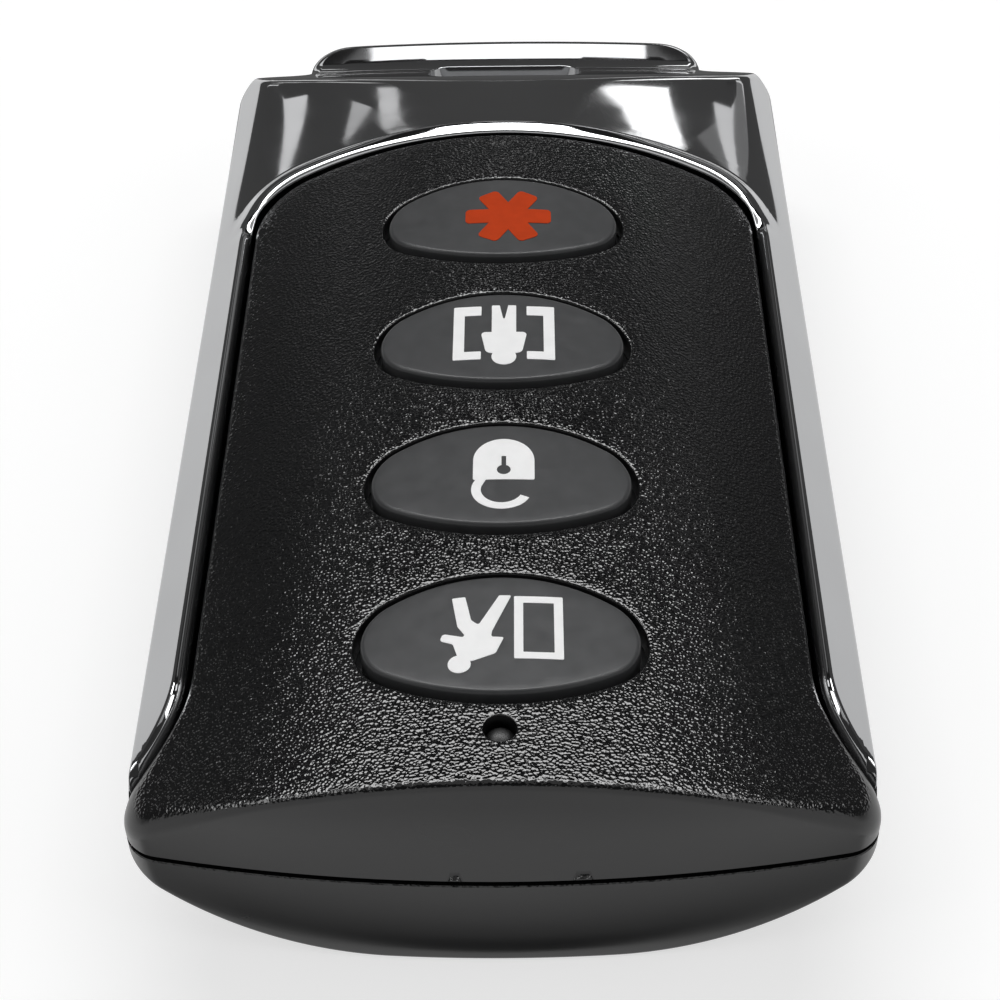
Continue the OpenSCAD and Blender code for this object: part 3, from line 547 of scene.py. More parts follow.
def distance_to(points: np.ndarray, path: np.ndarray, closed: bool = True) -> np.ndarray:
    """Measures how far points lie from a path of straight stretches.

    Args:
        points: The points.
        path: The path.
        closed: True if its last point joins its first.

    Returns:
        Each point's distance.
    """
    ends = np.roll(path, -1, 0) if closed else path[1:]
    starts = path if closed else path[:-1]
    run = ends - starts
    length = np.maximum((run**2).sum(1), 1e-12)
    result = np.empty(len(points))
    for k in range(0, len(points), CHUNK):
        gap = points[k : k + CHUNK, None] - starts[None]
        along = np.clip((gap * run).sum(2) / length, 0, 1)
        result[k : k + CHUNK] = np.sqrt(((gap - along[..., None] * run) ** 2).sum(2).min(1))
    return result


def inside(points: np.ndarray, loop: np.ndarray) -> np.ndarray:
    """Tells which points lie inside a closed loop.

    Args:
        points: The points.
        loop: The loop.

    Returns:
        True for each point inside.
    """
    ends = np.roll(loop, -1, 0)
    result = np.empty(len(points), bool)
    rise = np.where(ends[:, 1] == loop[:, 1], 1e-12, ends[:, 1] - loop[:, 1])
    for k in range(0, len(points), CHUNK):
        x, y = points[k : k + CHUNK, :1], points[k : k + CHUNK, 1:]
        spans = (loop[:, 1] > y) != (ends[:, 1] > y)
        right = x < (ends[:, 0] - loop[:, 0]) * (y - loop[:, 1]) / rise + loop[:, 0]
        result[k : k + CHUNK] = (spans & right).sum(1) % 2 == 1
    return result


def smooth_step(value: np.ndarray, start: float, stop: float) -> np.ndarray:
    """Eases from 0 at start to 1 at stop."""
    share = np.clip((value - start) / (stop - start), 0, 1)
    return share * share * (3 - 2 * share)


def soft_min(first: np.ndarray, second: np.ndarray, blend: float) -> np.ndarray:
    """Gives the lesser of two heights, rounded where they are within blend of each other."""
    near = np.maximum(blend - np.abs(first - second), 0) / blend
    return np.minimum(first, second) - near * near * blend / 4


def raised(run: np.ndarray, z: float | np.ndarray) -> np.ndarray:
    """Gives a plan run's points at a height, which may differ from point to point."""
    return np.column_stack((run, np.broadcast_to(np.asarray(z, float), len(run))))


def flat_at(z: float) -> Height:
    """Gives a height that is the same everywhere."""
    return lambda x, y: np.full_like(x, z)


def on_arc(centre_y: float, reach: float, x: float, side: int = 1) -> tuple[float, float]:
    """Finds a point at some X on a circle whose centre is on the middle line.

    Args:
        centre_y: Y of the circle's centre.
        reach: Its radius.
        x: The point's X.
        side: 1 for the point towards +Y, -1 for the other.

    Returns:
        The point's Y, and its angle from the centre in degrees.
    """
    y = centre_y + side * math.sqrt(reach**2 - x**2)
    return y, math.degrees(math.atan2(y - centre_y, x))


def wall_runs(
    base: np.ndarray, top_z: np.ndarray, foot_z: float | np.ndarray, lean: Lean
) -> list[np.ndarray]:
    """Gives the runs of points down a wall that leans along Y.

    Args:
        base: Plan of the wall.
        top_z: Height of its top at each point.
        foot_z: Height of its foot.
        lean: Shift along +Y at each height.

    Returns:
        The runs, from the top down.
    """
    runs: list[np.ndarray] = []
    for share in np.linspace(0, 1, WALL_RUNS):
        z = top_z + (foot_z - top_z) * share
        runs.append(np.column_stack((base[:, 0], base[:, 1] + lean(z), z)))
    return runs


def solid_box(node: str) -> tuple[tuple[float, float], Vector, Vector]:
    """Measures a node's solid.

    Args:
        node: Its name.

    Returns:
        The middle of its box in plan, in millimetres, and the box's corners, in metres.
    """
    low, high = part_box(node)
    return ((low.x + high.x) / 2 / MM, (low.y + high.y) / 2 / MM), low, high


@dataclass
class Rim:
    """One closed outline of a sheet, with the sheet on its left, and the round along it."""

    loop: np.ndarray
    radius: float | np.ndarray = 0.0
    steps: int = 5
    extra: Sequence[float] = ()

    # Least reach of an extra ring as a share of the round, and least distance of a ring from the loop as a
    # share of its reach.
    PAST = 1.05
    SOUND = 0.96

    def rounds(self) -> np.ndarray:
        """Gives the round's radius at each point of the loop."""
        return np.broadcast_to(np.asarray(self.radius, float), len(self.loop))

    def rings(self) -> tuple[np.ndarray, np.ndarray]:
        """Gives the points of the rings over the round and past it.

        Returns:
            The points, and how far each lies below the sheet's own height.
        """
        points: list[np.ndarray] = []
        drops: list[np.ndarray] = []
        radius = self.rounds()
        if radius.max() > 0:
            for angle in np.linspace(0, math.pi / 2, self.steps + 1)[1:]:
                reach = radius * (1 - math.cos(angle))
                self._ring(points, drops, reach, radius * (1 - math.sin(angle)))
        for reach in self.extra:
            self._ring(points, drops, np.maximum(reach, radius * self.PAST), np.zeros(len(self.loop)))
        if not points:
            return np.empty((0, 2)), np.empty(0)
        return np.vstack(points), np.concatenate(drops)

    def _ring(
        self, points: list[np.ndarray], drops: list[np.ndarray], reach: np.ndarray, drop: np.ndarray
    ) -> None:
        """Adds one ring, without the points where it would cross itself.

        Args:
            points: Takes the ring's points.
            drops: Takes their drops.
            reach: Distance of the ring from the loop.
            drop: How far its points lie below the sheet's own height.
        """
        ring = inset(self.loop, reach)
        sound = distance_to(ring, self.loop) > reach * self.SOUND - 1e-6
        points.append(ring[sound])
        drops.append(drop[sound])


class Sheet:
    """A plan region cut into triangles, with rounds along its rims."""

    # Shares of the grid's spacing that its points keep clear of a plain rim and, in a wide round, of
    # other points, without and with extra rings.
    CLEAR = 0.6
    PLAIN = 0.5
    ROOM = 0.45
    RING_ROOM = 0.95
    # Share of a round's radius that grid points stay out of.
    ROUND_ROOM = 1.15

    def __init__(
        self,
        outer: Sequence[Rim],
        holes: Sequence[Rim] = (),
        xs: np.ndarray | None = None,
        ys: np.ndarray | None = None,
    ) -> None:
        """Cuts the region into triangles.

        Args:
            outer: Outlines that hold the region; they may overlap.
            holes: Outlines left out of it.
            xs: Grid lines across the region.
            ys: Grid lines along the region.
        """
        self.outer = list(outer)
        self.holes = list(holes)
        rims = self.outer + self.holes
        points = [rim.loop for rim in rims]
        drops = [rim.rounds() for rim in rims]
        edges: list[tuple[int, int]] = []
        start = 0
        for rim in rims:
            count = len(rim.loop)
            edges.extend((start + k, start + (k + 1) % count) for k in range(count))
            start += count
        for rim in rims:
            ring, drop = rim.rings()
            points.append(ring)
            drops.append(drop)
        if xs is not None and ys is not None:
            grid = self._grid(np.vstack(points), xs, ys)
            points.append(grid)
            drops.append(np.zeros(len(grid)))
        self._cut(np.vstack(points), np.concatenate(drops), edges)

    def _holds(self, points: np.ndarray) -> np.ndarray:
        """Tells which points lie in the region.

        Args:
            points: The points.

        Returns:
            True for each point in it.
        """
        held = np.zeros(len(points), bool)
        for rim in self.outer:
            held |= inside(points, rim.loop)
        for rim in self.holes:
            held &= ~inside(points, rim.loop)
        return held

    def _grid(self, taken: np.ndarray, xs: np.ndarray, ys: np.ndarray) -> np.ndarray:
        """Finds the crossings of the grid lines that lie clear of the rims and rings.

        Args:
            taken: Points of the rims and rings.
            xs: Grid lines across the region.
            ys: Grid lines along the region.

        Returns:
            The crossings, one to a row.
        """
        across, along = np.meshgrid(xs, ys)
        points = np.column_stack((across.ravel(), along.ravel()))
        points = points[self._holds(points)]
        clear = self.CLEAR * min(float(np.diff(xs).max()), float(np.diff(ys).max()))
        for rim in self.outer + self.holes:
            rounds = rim.rounds()
            reach = max(float(rounds.max()), max(rim.extra, default=0.0))
            near = distance_to(points, rim.loop)
            if reach <= clear:
                points = points[near > reach + self.PLAIN * clear]
                continue
            room = clear * (self.RING_ROOM if len(rim.extra) else self.ROOM)
            crowded = np.zeros(len(points), bool)
            for k in np.flatnonzero(near < reach + clear):
                bound = rounds[((rim.loop - points[k]) ** 2).sum(1).argmin()] * self.ROUND_ROOM
                crowded[k] = near[k] < bound or ((taken - points[k]) ** 2).sum(1).min() < room**2
            points = points[~crowded]
        return points

    def _cut(self, points: np.ndarray, drops: np.ndarray, edges: list[tuple[int, int]]) -> None:
        """Cuts the points into triangles and keeps those in the region.

        Args:
            points: Points of the rims, the rings and the grid.
            drops: How far each lies below the sheet's own height.
            edges: Edges of the rims, as pairs of points.
        """
        flat = [Vector((float(x), float(y))) for x, y in points]
        found = delaunay_2d_cdt(flat, edges, [], 0, 1e-7, True)
        self.plan = np.array([tuple(v) for v in found[0]])
        self.drop = np.array([drops[ids[0]] if ids else 0.0 for ids in found[3]])
        triangles = np.array([face for face in found[2] if len(face) == 3])
        a, b, c = (self.plan[triangles[:, k]] for k in range(3))
        area = (b[:, 0] - a[:, 0]) * (c[:, 1] - a[:, 1]) - (b[:, 1] - a[:, 1]) * (c[:, 0] - a[:, 0])
        triangles[area < 0] = triangles[area < 0][:, ::-1]
        self.triangles = triangles[self._holds((a + b + c) / 3) & (np.abs(area) > 1e-9)]

    def border(self) -> list[tuple[int, int]]:
        """Gives the edges that belong to one triangle only, with the region on their left."""
        seen = {(int(t[k]), int(t[(k + 1) % 3])) for t in self.triangles for k in range(3)}
        return [(a, b) for a, b in seen if (b, a) not in seen]


class Draft:
    """Gathers the faces of one piece and makes its mesh."""

    def __init__(self) -> None:
        """Starts with no faces."""
        self.points: list[np.ndarray] = []
        self.faces: list[tuple[int, ...]] = []
        self.count = 0

    def add(self, points: np.ndarray, faces: Sequence[Sequence[int]]) -> None:
        """Adds faces with their own points.

        Args:
            points: The points, one to a row.
            faces: The faces, counted from the first of these points.
        """
        self.points.append(points)
        self.faces.extend(tuple(int(k) + self.count for k in face) for face in faces)
        self.count += len(points)

    def sheet(self, sheet: Sheet, height: Height, up: bool = True) -> None:
        """Adds a sheet.

        Args:
            sheet: The plan region.
            height: Its height at each place.
            up: True if it faces up, so that its rims fall, and False if it faces down.
        """
        z = height(*sheet.plan.T) + (-sheet.drop if up else sheet.drop)
        self.add(raised(sheet.plan, z), sheet.triangles if up else sheet.triangles[:, ::-1])

    def band(self, upper: np.ndarray, lower: np.ndarray, closed: bool = True) -> None:
        """Adds a wall between two runs of points that have the piece on their left.

        Args:
            upper: The upper run.
            lower: The lower run, point for point.
            closed: True if the last points join the first.
        """
        count = len(upper)
        faces = [(count + k, count + (k + 1) % count, (k + 1) % count, k) for k in range(count)]
        self.add(np.vstack((upper, lower)), faces if closed else faces[:-1])

    def walls(self, runs: Sequence[np.ndarray]) -> None:
        """Adds the walls between successive runs of points, from the top down."""
        for upper, lower in zip(runs, runs[1:]):
            self.band(upper, lower)

    def prism(self, sheet: Sheet, top: Height, bottom: Height) -> None:
        """Adds a closed solid between two heights over a sheet.

        Args:
            sheet: The plan region.
            top: Height of the upper side.
            bottom: Height of the underside, which has no round.
        """
        x, y = sheet.plan.T
        count = len(sheet.plan)
        upper = raised(sheet.plan, top(x, y) - sheet.drop)
        lower = raised(sheet.plan, bottom(x, y))
        faces = [tuple(t) for t in sheet.triangles] + [tuple(t[::-1] + count) for t in sheet.triangles]
        faces += [(a + count, b + count, b, a) for a, b in sheet.border()]
        self.add(np.vstack((upper, lower)), faces)

    def lathe(
        self, profile: Sequence[tuple[float, float]], centre: Sequence[float], steps: int = 48
    ) -> None:
        """Adds a closed turned solid.

        Args:
            profile: Radius and height of each ring, from the bottom up; a radius of 0 closes an end.
            centre: Plan place of the axis.
            steps: Number of sides.
        """
        turn = np.linspace(0, 2 * math.pi, steps, endpoint=False)
        circle = np.column_stack((np.cos(turn), np.sin(turn)))
        rings = [raised(centre + circle * radius, z) for radius, z in profile]
        for lower, upper in zip(rings, rings[1:]):
            self.band(upper, lower)

    def piece(self, name: str, finish: Finish, sharp: float = SHARP) -> bpy.types.Object:
        """Makes the mesh object.

        Args:
            name: Name of the piece.
            finish: Its finish.
            sharp: Angle, in degrees, above which an edge stays sharp.

        Returns:
            The object, in metres, in the part's frame.
        """
        mesh = bpy.data.meshes.new(name)
        mesh.from_pydata((np.vstack(self.points) * MM).tolist(), [], self.faces)
        work = bmesh.new()
        work.from_mesh(mesh)
        bmesh.ops.remove_doubles(work, verts=work.verts, dist=WELD * MM)
        bmesh.ops.dissolve_degenerate(work, edges=work.edges, dist=SLIVER * MM)
        for face in work.faces:
            face.smooth = True
        work.to_mesh(mesh)
        work.free()
        mesh.set_sharp_from_angle(angle=math.radians(sharp))
        mesh.materials.append(finish.material())
        piece = bpy.data.objects.new(name, mesh)
        bpy.context.scene.collection.objects.link(piece)
        return piece


def dress(piece: bpy.types.Object, body: str, slot: str, *nodes: str) -> None:
    """Ties a piece to the frame and reports it.

    Args:
        piece: The piece.
        body: Body that it rides on.
        slot: Material slot that its finish comes from; not used.
        *nodes: Nodes that it stands for.
    """
    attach(piece, body)
    if nodes:
        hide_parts(*nodes)
    LOG.info("%s: %d faces on %s", piece.name, len(piece.data.polygons), body)


@dataclass
class CaseForm:
    """The sizes that the shells share, and the heights and outlines that follow from them."""

    half: float = 16.5
    near_y: float = -32.5
    far_y: float = 32.5
    parting_z: float = 6.0
    parting_gap: float = 0.32
    face_z: float = 12.3
    face_edge_z: float = 9.0
    rail_w: float = 2.3
    seam: float = 0.25
    near_bulge: float = 1.7
    near_corner: float = 1.8
    flare_angle: float = 38.6
    flare_round: float = 6.5
    arch_y: float = 14.35
    arch_bulge: float = 2.0
    arch_corner: float = 3.5
    set_back: float = 0.5
    set_back_z: float = 9.0
    back_flat: float = 5.0
    back_edge_z: float = 5.0
    lift_y: float = 15.45
    lift_r: float = 12.0
    wall: float = 1.2
    end_wall: float = 1.8
    least_corner: float = 0.4
    bay_step: float = 0.5

    def __post_init__(self) -> None:
        """Works out the derived radii."""
        self.face_half = self.half - self.rail_w - self.seam
        self.crown_r = arc_radius(self.face_half, self.face_z - self.face_edge_z)
        self.crown_c = self.face_z - self.crown_r
        self.near_r = arc_radius(self.half, self.near_bulge)
        self.arch_r = arc_radius(self.face_half, self.arch_bulge)
        self.back_r = arc_radius(self.half - self.back_flat, self.back_edge_z)
        self.front_z = self.parting_z + self.parting_gap / 2
        self.rear_z = self.parting_z - self.parting_gap / 2

    def crown(self, x: np.ndarray, rise: float = 0.0) -> np.ndarray:
        """Gives the height of the front face, raised square to itself."""
        return self.crown_c + np.sqrt((self.crown_r + rise) ** 2 - x * x)

    def back(self, x: np.ndarray, y: np.ndarray, wall: float = 0.0) -> np.ndarray:
        """Gives the height of the rear cover's underside, or of its floor.

        Args:
            x: X of each place.
            y: Y of each place.
            wall: Thickness of the wall under the floor, or 0 for the underside.

        Returns:
            The height at each place.
        """
        out = np.clip(np.abs(x) - self.back_flat, 0, self.half - self.back_flat)
        curve = self.back_r - np.sqrt((self.back_r - wall) ** 2 - out * out)
        past = np.clip(y - self.lift_y, 0, self.lift_r - wall - 1)
        lift = self.lift_r - np.sqrt((self.lift_r - wall) ** 2 - past * past)
        return np.maximum(np.maximum(curve, wall), lift)

    def lean(self, z: np.ndarray) -> np.ndarray:
        """Gives how far the near end lies back at a height."""
        return self.set_back * np.clip((z - self.set_back_z) / (self.face_z - self.set_back_z), 0, 1) ** 2

    def nearness(self, y: np.ndarray, start: float, stop: float) -> np.ndarray:
        """Eases from 0 to 1 as Y falls from one distance from the near end to another."""
        return smooth_step(-y, -self.near_y - start, -self.near_y - stop)

    def near_end(self, shrink: float = 0.0, stop: float = 0.0) -> np.ndarray:
        """Gives the right half of the near end from the middle to its corner.

        Args:
            shrink: Distance by which the outline is drawn in.
            stop: Angle at which the corner's arc ends, in degrees.

        Returns:
            The points from the middle line outwards.
        """
        radius = self.near_r - shrink
        corner = max(self.near_corner - shrink, self.least_corner)
        centre_y = self.near_y + self.near_r
        corner_x = self.half - shrink - corner
        corner_y, meet = on_arc(centre_y, radius - corner, corner_x, -1)
        return joined(
            arc((0, centre_y), radius, -90, meet, step=0.4),
            arc((corner_x, corner_y), corner, meet, stop, step=0.15),
        )

    def arch(self, grow: float = 0.0) -> np.ndarray:
        """Gives the right half of the arch, from the side to the crest.

        Args:
            grow: Distance by which the outline is grown outwards.

        Returns:
            The points, one to a row.
        """
        corner = self.arch_corner + grow
        centre_y = self.arch_y - self.arch_r
        corner_x = self.face_half + grow - corner
        corner_y, meet = on_arc(centre_y, self.arch_r + grow - corner, corner_x)
        return joined(
            arc((corner_x, corner_y), corner, 0, meet, step=0.2),
            arc((0, centre_y), self.arch_r + grow, meet, 90, step=0.4),
        )

    def bay(self, side: float, far: np.ndarray, clear: float, rise: float) -> np.ndarray:
        """Gives the outline of the space inside a shell.

        Args:
            side: X of its side.
            far: Right half of its far end, from the side to the middle line.
            clear: Distance from the side at which the near end's curve stops.
            rise: Distance along Y from there to the start of the side.

        Returns:
            The closed loop.
        """
        near = self.near_end(self.end_wall)
        near = near[near[:, 0] < side - clear]
        half = joined(near, [(side, near[-1, 1] + rise)], far)
        return mirrored(refined(half, self.bay_step))

    def flare(self, gap: float, last: float) -> np.ndarray:
        """Gives the flared edge on the right side, from the near corner up to the straight side.

        Args:
            gap: Distance outwards from the front cover's own edge along the slope.
            last: Y at which the run ends.

        Returns:
            The points from the corner's tangent up the side.
        """
        turn = math.radians(self.flare_angle)
        corner = self.near_end(0.0, self.flare_angle)[-1] + gap * np.array((math.cos(turn), math.sin(turn)))
        side_x = self.face_half + min(gap, self.seam)
        bend_y = corner[1] + (corner[0] - side_x) / math.tan(turn)
        return filleted(((*corner, 0), (side_x, bend_y, self.flare_round), (side_x, last, 0)))

    def face_half_outline(self) -> np.ndarray:
        """Gives the right half of the front cover's outline, from the near end to the arch's crest."""
        arch = self.arch()
        return refined(joined(self.near_end(0.0, self.flare_angle), self.flare(0.0, arch[0, 1]), arch))


def oval(w: float, l: float, end_r: float, centre_y: float, step: float = 0.25) -> np.ndarray:
    """Gives a closed oval of four tangent arcs, counter-clockwise.

    Args:
        w: Its width.
        l: Its length.
        end_r: Radius of its two ends.
        centre_y: Y of its centre.
        step: Largest distance between points.

    Returns:
        The points, one to a row.
    """
    end_x = w / 2 - end_r
    side_r = (end_x**2 + l * l / 4 - end_r**2) / (l - 2 * end_r)
    meet = math.degrees(math.atan2(side_r - l / 2, end_x))
    quarter = joined(
        arc((end_x, centre_y), end_r, 0, meet, step / 2),
        arc((0, centre_y + l / 2 - side_r), side_r, meet, 90, step),
    )
    left = (quarter * (-1, 1))[::-1]
    upper = joined(quarter, left)
    lower = upper * (-1, -1) + (0, 2 * centre_y)
    return joined(upper, lower)[:-1]


@dataclass
class KeySet:
    """The four key caps and their pictograms."""

    form: CaseForm
    w: float = 12.3
    l: float = 6.85
    end_r: float = 2.35
    gap: float = 0.32
    proud: float = 0.22
    edge_r: float = 0.22
    flange_over: float = 0.5
    flange_in: float = 0.25
    flange_gap: float = 0.25
    flange_t: float = 0.6
    stem_d: float = 3.0
    stem_l: float = 0.2
    ink: float = 0.025
    ink_depth: float = 0.05
    grid: float = 0.55
    ink_grid: float = 0.4
    ink_step: float = 0.3
    ink_sharp: float = 30.0
    centres: dict[KeyName, float] = field(init=False)

    # Shift of each pictogram from the middle line.
    SHIFTS = {
        KeyName.ARM: 0.1,
        KeyName.DISARM: 0.12,
        KeyName.STAY: 0.1,
        KeyName.PANIC: 0.3,
    }

    def __post_init__(self) -> None:
        """Takes each key's place from the frame."""
        self.centres = {key: solid_box(f"{key.value}_key")[0][1] for key in KeyName}
        half = self.w / 2 + self.flange_over
        ceiling = float(self.form.crown(np.array(half), -self.form.wall))
        self.under_z = ceiling - self.flange_gap - self.flange_t

    def opening(self, key: KeyName) -> np.ndarray:
        """Gives the outline of a key's opening in the front cover, clockwise."""
        grow = 2 * self.gap
        return oval(self.w + grow, self.l + grow, self.end_r + self.gap, self.centres[key])[::-1]

    def build(self) -> None:
        """Builds and dresses every key with its pictogram."""
        for key in KeyName:
            self._cap(key)
            self._legend(key)

    def _cap(self, key: KeyName) -> None:
        """Builds one cap with its end flanges and its stem.

        Args:
            key: The key.
        """
        y = self.centres[key]
        half = self.w / 2
        xs = np.arange(-half, half, self.grid)
        ys = np.arange(y - self.l / 2, y + self.l / 2, self.grid)
        under = flat_at(self.under_z)
        draft = Draft()
        top = Sheet([Rim(oval(self.w, self.l, self.end_r, y), self.edge_r, WIDE_STEPS)], (), xs, ys)
        draft.prism(top, lambda u, v: self.form.crown(u, self.proud), under)
        wide = oval(self.w + 2 * self.flange_over, self.l - 2 * self.flange_in, self.end_r, y)
        flange = Sheet([Rim(wide)], (), np.arange(-half, half, 2 * self.grid), ys)
        draft.prism(flange, lambda u, v: self.form.crown(u, -self.form.wall - self.flange_gap), under)
        stem = self.stem_d / 2
        low = self.under_z - self.stem_l
        draft.lathe(((0, low), (stem, low), (stem, self.under_z), (0, self.under_z)), (0, y))
        piece = draft.piece(f"{key.value}_cap", FINISHES["key_grey"])
        dress(piece, f"{key.value}_button", "key_grey", f"{key.value}_key")

    def _legend(self, key: KeyName) -> None:
        """Builds one pictogram as a thin layer that follows the cap's crown.

        Args:
            key: The key.
        """
        shapes, cuts = Pictogram(self.centres[key], self.SHIFTS[key]).draw(key)
        slot = "legend_red" if key is KeyName.PANIC else "legend_white"
        low, high = np.vstack(shapes).min(0), np.vstack(shapes).max(0)
        xs, ys = (np.arange(low[k], high[k], self.ink_grid) for k in range(2))
        rims = [Rim(refined(shape, self.ink_step, True)) for shape in shapes]
        draft = Draft()
        draft.prism(
            Sheet(rims, [Rim(cut) for cut in cuts], xs, ys),
            lambda u, v: self.form.crown(u, self.proud + self.ink),
            lambda u, v: self.form.crown(u, self.proud - self.ink_depth),
        )
        piece = draft.piece(f"{key.value}_legend", FINISHES[slot], self.ink_sharp)
        dress(piece, f"{key.value}_button", slot)


@dataclass
class Pictogram:
    """Plain signs for the keys. They read from the lug's side, so their tops point to the near end."""

    centre_y: float
    shift: float

    # Largest distances between points on circles and bars, on drawn outlines and on small corners.
    ROUND = 0.12
    DRAWN = 0.06
    CORNER = 0.05
    # X, Y and radius of each corner of the walker, and the middle and radius of the head.
    WALKER = (
        (-2.25, 2.08, 0.06), (-1.98, 0.4, 0.3), (-1.55, -0.28, 0.1), (-2.62, 0.0, 0.16),
        (-2.74, -0.4, 0.16), (-2.16, -0.62, 0.15), (-1.9, -1.5, 0.1), (-1.3, -1.62, 0.2),
        (-0.3, -1.2, 0.3), (0.06, -0.28, 0.06), (-0.5, -0.24, 0.1), (-0.46, 0.1, 0.2),
        (0.38, 2.2, 0.06), (-0.16, 2.2, 0.06), (-1.06, 0.45, 0.1), (-1.38, 0.75, 0.2),
        (-1.66, 2.14, 0.06),
    )
    WALKER_HEAD = ((-1.86, -1.78), 0.5)
    # Two corners of the door and of its opening, and the radius of their rounds.
    DOOR = (0.5, -1.5, 2.65, 2.15, 0.06)
    DOORWAY = (0.9, -1.12, 2.25, 1.77, 0.03)
    # The padlock: its half width, the ends of its straight sides and the radius of its corners.
    LOCK_HALF = 1.45
    LOCK_TOP = -0.43
    LOCK_SIDE = 0.92
    LOCK_ROUND = 0.9
    LOCK_CORNER = 0.1
    # The shackle: its middle, inner and outer radius, the angles of its ends and its squash along Y.
    SHACKLE = (-0.1, -1.18)
    SHACKLE_R = (0.97, 1.42)
    SHACKLE_ENDS = (152, 335)
    SHACKLE_SQUASH = 0.92
    SHACKLE_FOOT = ((-1.22, -0.72), (-0.98, -0.2))
    FOOT_W = 0.45
    KEYHOLE = ((0, 0.24), 0.33)
    KEYHOLE_SLIT = (-0.11, 0.32, 0.11, 1.17, 0.03)
    # The brackets: X of their bars and inner ends, Y of their ends, and the Y and thickness of their arms.
    BRACKET_X = (2.0, 2.56)
    BRACKET_Y = (-1.81, 2.34)
    BRACKET_IN = (1.15, 2.4)
    BRACKET_ARMS = ((-1.81, 0.6), (1.62, 0.72))
    # The person between the brackets.
    TRUNK = (
        (-1.17, 0.28, 0.2), (-0.9, -1.35, 0.35), (0.9, -1.35, 0.35), (1.17, 0.28, 0.2),
    )
    TRUNK_STEP = 0.08
    LEGS = (
        (-0.62, 2.4, 0.06), (-0.62, 0.0, 0.02), (0.62, 0.0, 0.02), (0.62, 2.4, 0.06),
        (0.22, 2.4, 0.05), (0.0, 1.1, 0.05), (-0.22, 2.4, 0.05),
    )
    PERSON_HEAD = ((0, -1.62), 0.62)
    # One bar of the star, and the turns of all three in degrees.
    STAR_BAR = (-2.3, -0.6, 2.3, 0.6, 0.26)
    STAR_TURNS = (0, 60, 120)

    def draw(self, key: KeyName) -> Drawing:
        """Draws one key's sign.

        Args:
            key: The key.

        Returns:
            The outlines that make the sign, and the outlines cut out of it.
        """
        shapes, cuts = {
            KeyName.ARM: self._leaving,
            KeyName.DISARM: self._open_lock,
            KeyName.STAY: self._at_home,
            KeyName.PANIC: self._star,
        }[key]()
        place = (self.shift, self.centre_y)
        return [shape + place for shape in shapes], [cut + place for cut in cuts]

    def _stroke(self, points: Sequence[Sequence[float]], width: float) -> list[np.ndarray]:
        """Gives a run of round-ended bars.

        Args:
            points: Points that the run passes through.
            width: Its width.

        Returns:
            The bars' outlines.
        """
        bars: list[np.ndarray] = []
        for first, second in zip(points, points[1:]):
            angle = math.degrees(math.atan2(second[1] - first[1], second[0] - first[0]))
            bars.append(
                joined(
                    arc(second, width / 2, angle - 90, angle + 90, self.ROUND),
                    arc(first, width / 2, angle + 90, angle + 270, self.ROUND),
                )
            )
        return bars

    def _disc(self, centre: Sequence[float], radius: float) -> np.ndarray:
        """Gives a circle."""
        return arc(centre, radius, 0, 360, self.ROUND)[:-1]

    def _plate(self, x1: float, y1: float, x2: float, y2: float, r: float = 0.06) -> np.ndarray:
        """Gives a rectangle with small round corners."""
        return filleted(((x1, y1, r), (x2, y1, r), (x2, y2, r), (x1, y2, r)), self.CORNER, True)

    def _leaving(self) -> Drawing:
        """Draws a walker beside an open doorway.

        Returns:
            The outlines, and the outlines cut out of them.
        """
        walker = filleted(self.WALKER, self.DRAWN, True)[::-1]
        shapes = [self._disc(*self.WALKER_HEAD), walker, self._plate(*self.DOOR)]
        return shapes, [self._plate(*self.DOORWAY)[::-1]]

    def _open_lock(self) -> Drawing:
        """Draws a padlock with its shackle swung open.

        Returns:
            The outlines, and the outlines cut out of them.
        """
        half, top, side, corner = self.LOCK_HALF, self.LOCK_TOP, self.LOCK_SIDE, self.LOCK_CORNER
        box = ((-half, side, 0), (-half, top, corner), (half, top, corner), (half, side, 0))
        body = joined(arc((0, self.LOCK_ROUND), half, 0, 180, step=0.15), filleted(box, self.CORNER))[:-1]
        (inner, outer), (start, stop) = self.SHACKLE_R, self.SHACKLE_ENDS
        hook = joined(
            arc(self.SHACKLE, outer, start, stop, self.ROUND),
            arc(self.SHACKLE, inner, stop, start, self.ROUND),
        )
        foot = self._stroke(self.SHACKLE_FOOT, self.FOOT_W)
        keyhole = [self._disc(*self.KEYHOLE)[::-1], self._plate(*self.KEYHOLE_SLIT)[::-1]]
        return [body, hook * (1, self.SHACKLE_SQUASH)] + foot, keyhole

    def _at_home(self) -> Drawing:
        """Draws a person who stands between two brackets.

        Returns:
            The outlines, and the outlines cut out of them.
        """
        (bar_in, bar_out), (low, high) = self.BRACKET_X, self.BRACKET_Y
        shapes = [self._plate(-bar_out, low, -bar_in, high), self._plate(bar_in, low, bar_out, high)]
        for side in (-1, 1):
            x1, x2 = sorted(side * x for x in self.BRACKET_IN)
            shapes += [self._plate(x1, y, x2, y + thick) for y, thick in self.BRACKET_ARMS]
        trunk = filleted(self.TRUNK, self.TRUNK_STEP, True)
        legs = filleted(self.LEGS, self.DRAWN, True)
        return shapes + [trunk, self._disc(*self.PERSON_HEAD), legs], []

    def _star(self) -> Drawing:
        """Draws a six-armed star of three crossed bars.

        Returns:
            The outlines, and the outlines cut out of them.
        """
        bar = self._plate(*self.STAR_BAR)
        bars: list[np.ndarray] = []
        for angle in self.STAR_TURNS:
            c, s = math.cos(math.radians(angle)), math.sin(math.radians(angle))
            bars.append(bar @ np.array(((c, s), (-s, c))))
        return bars, []


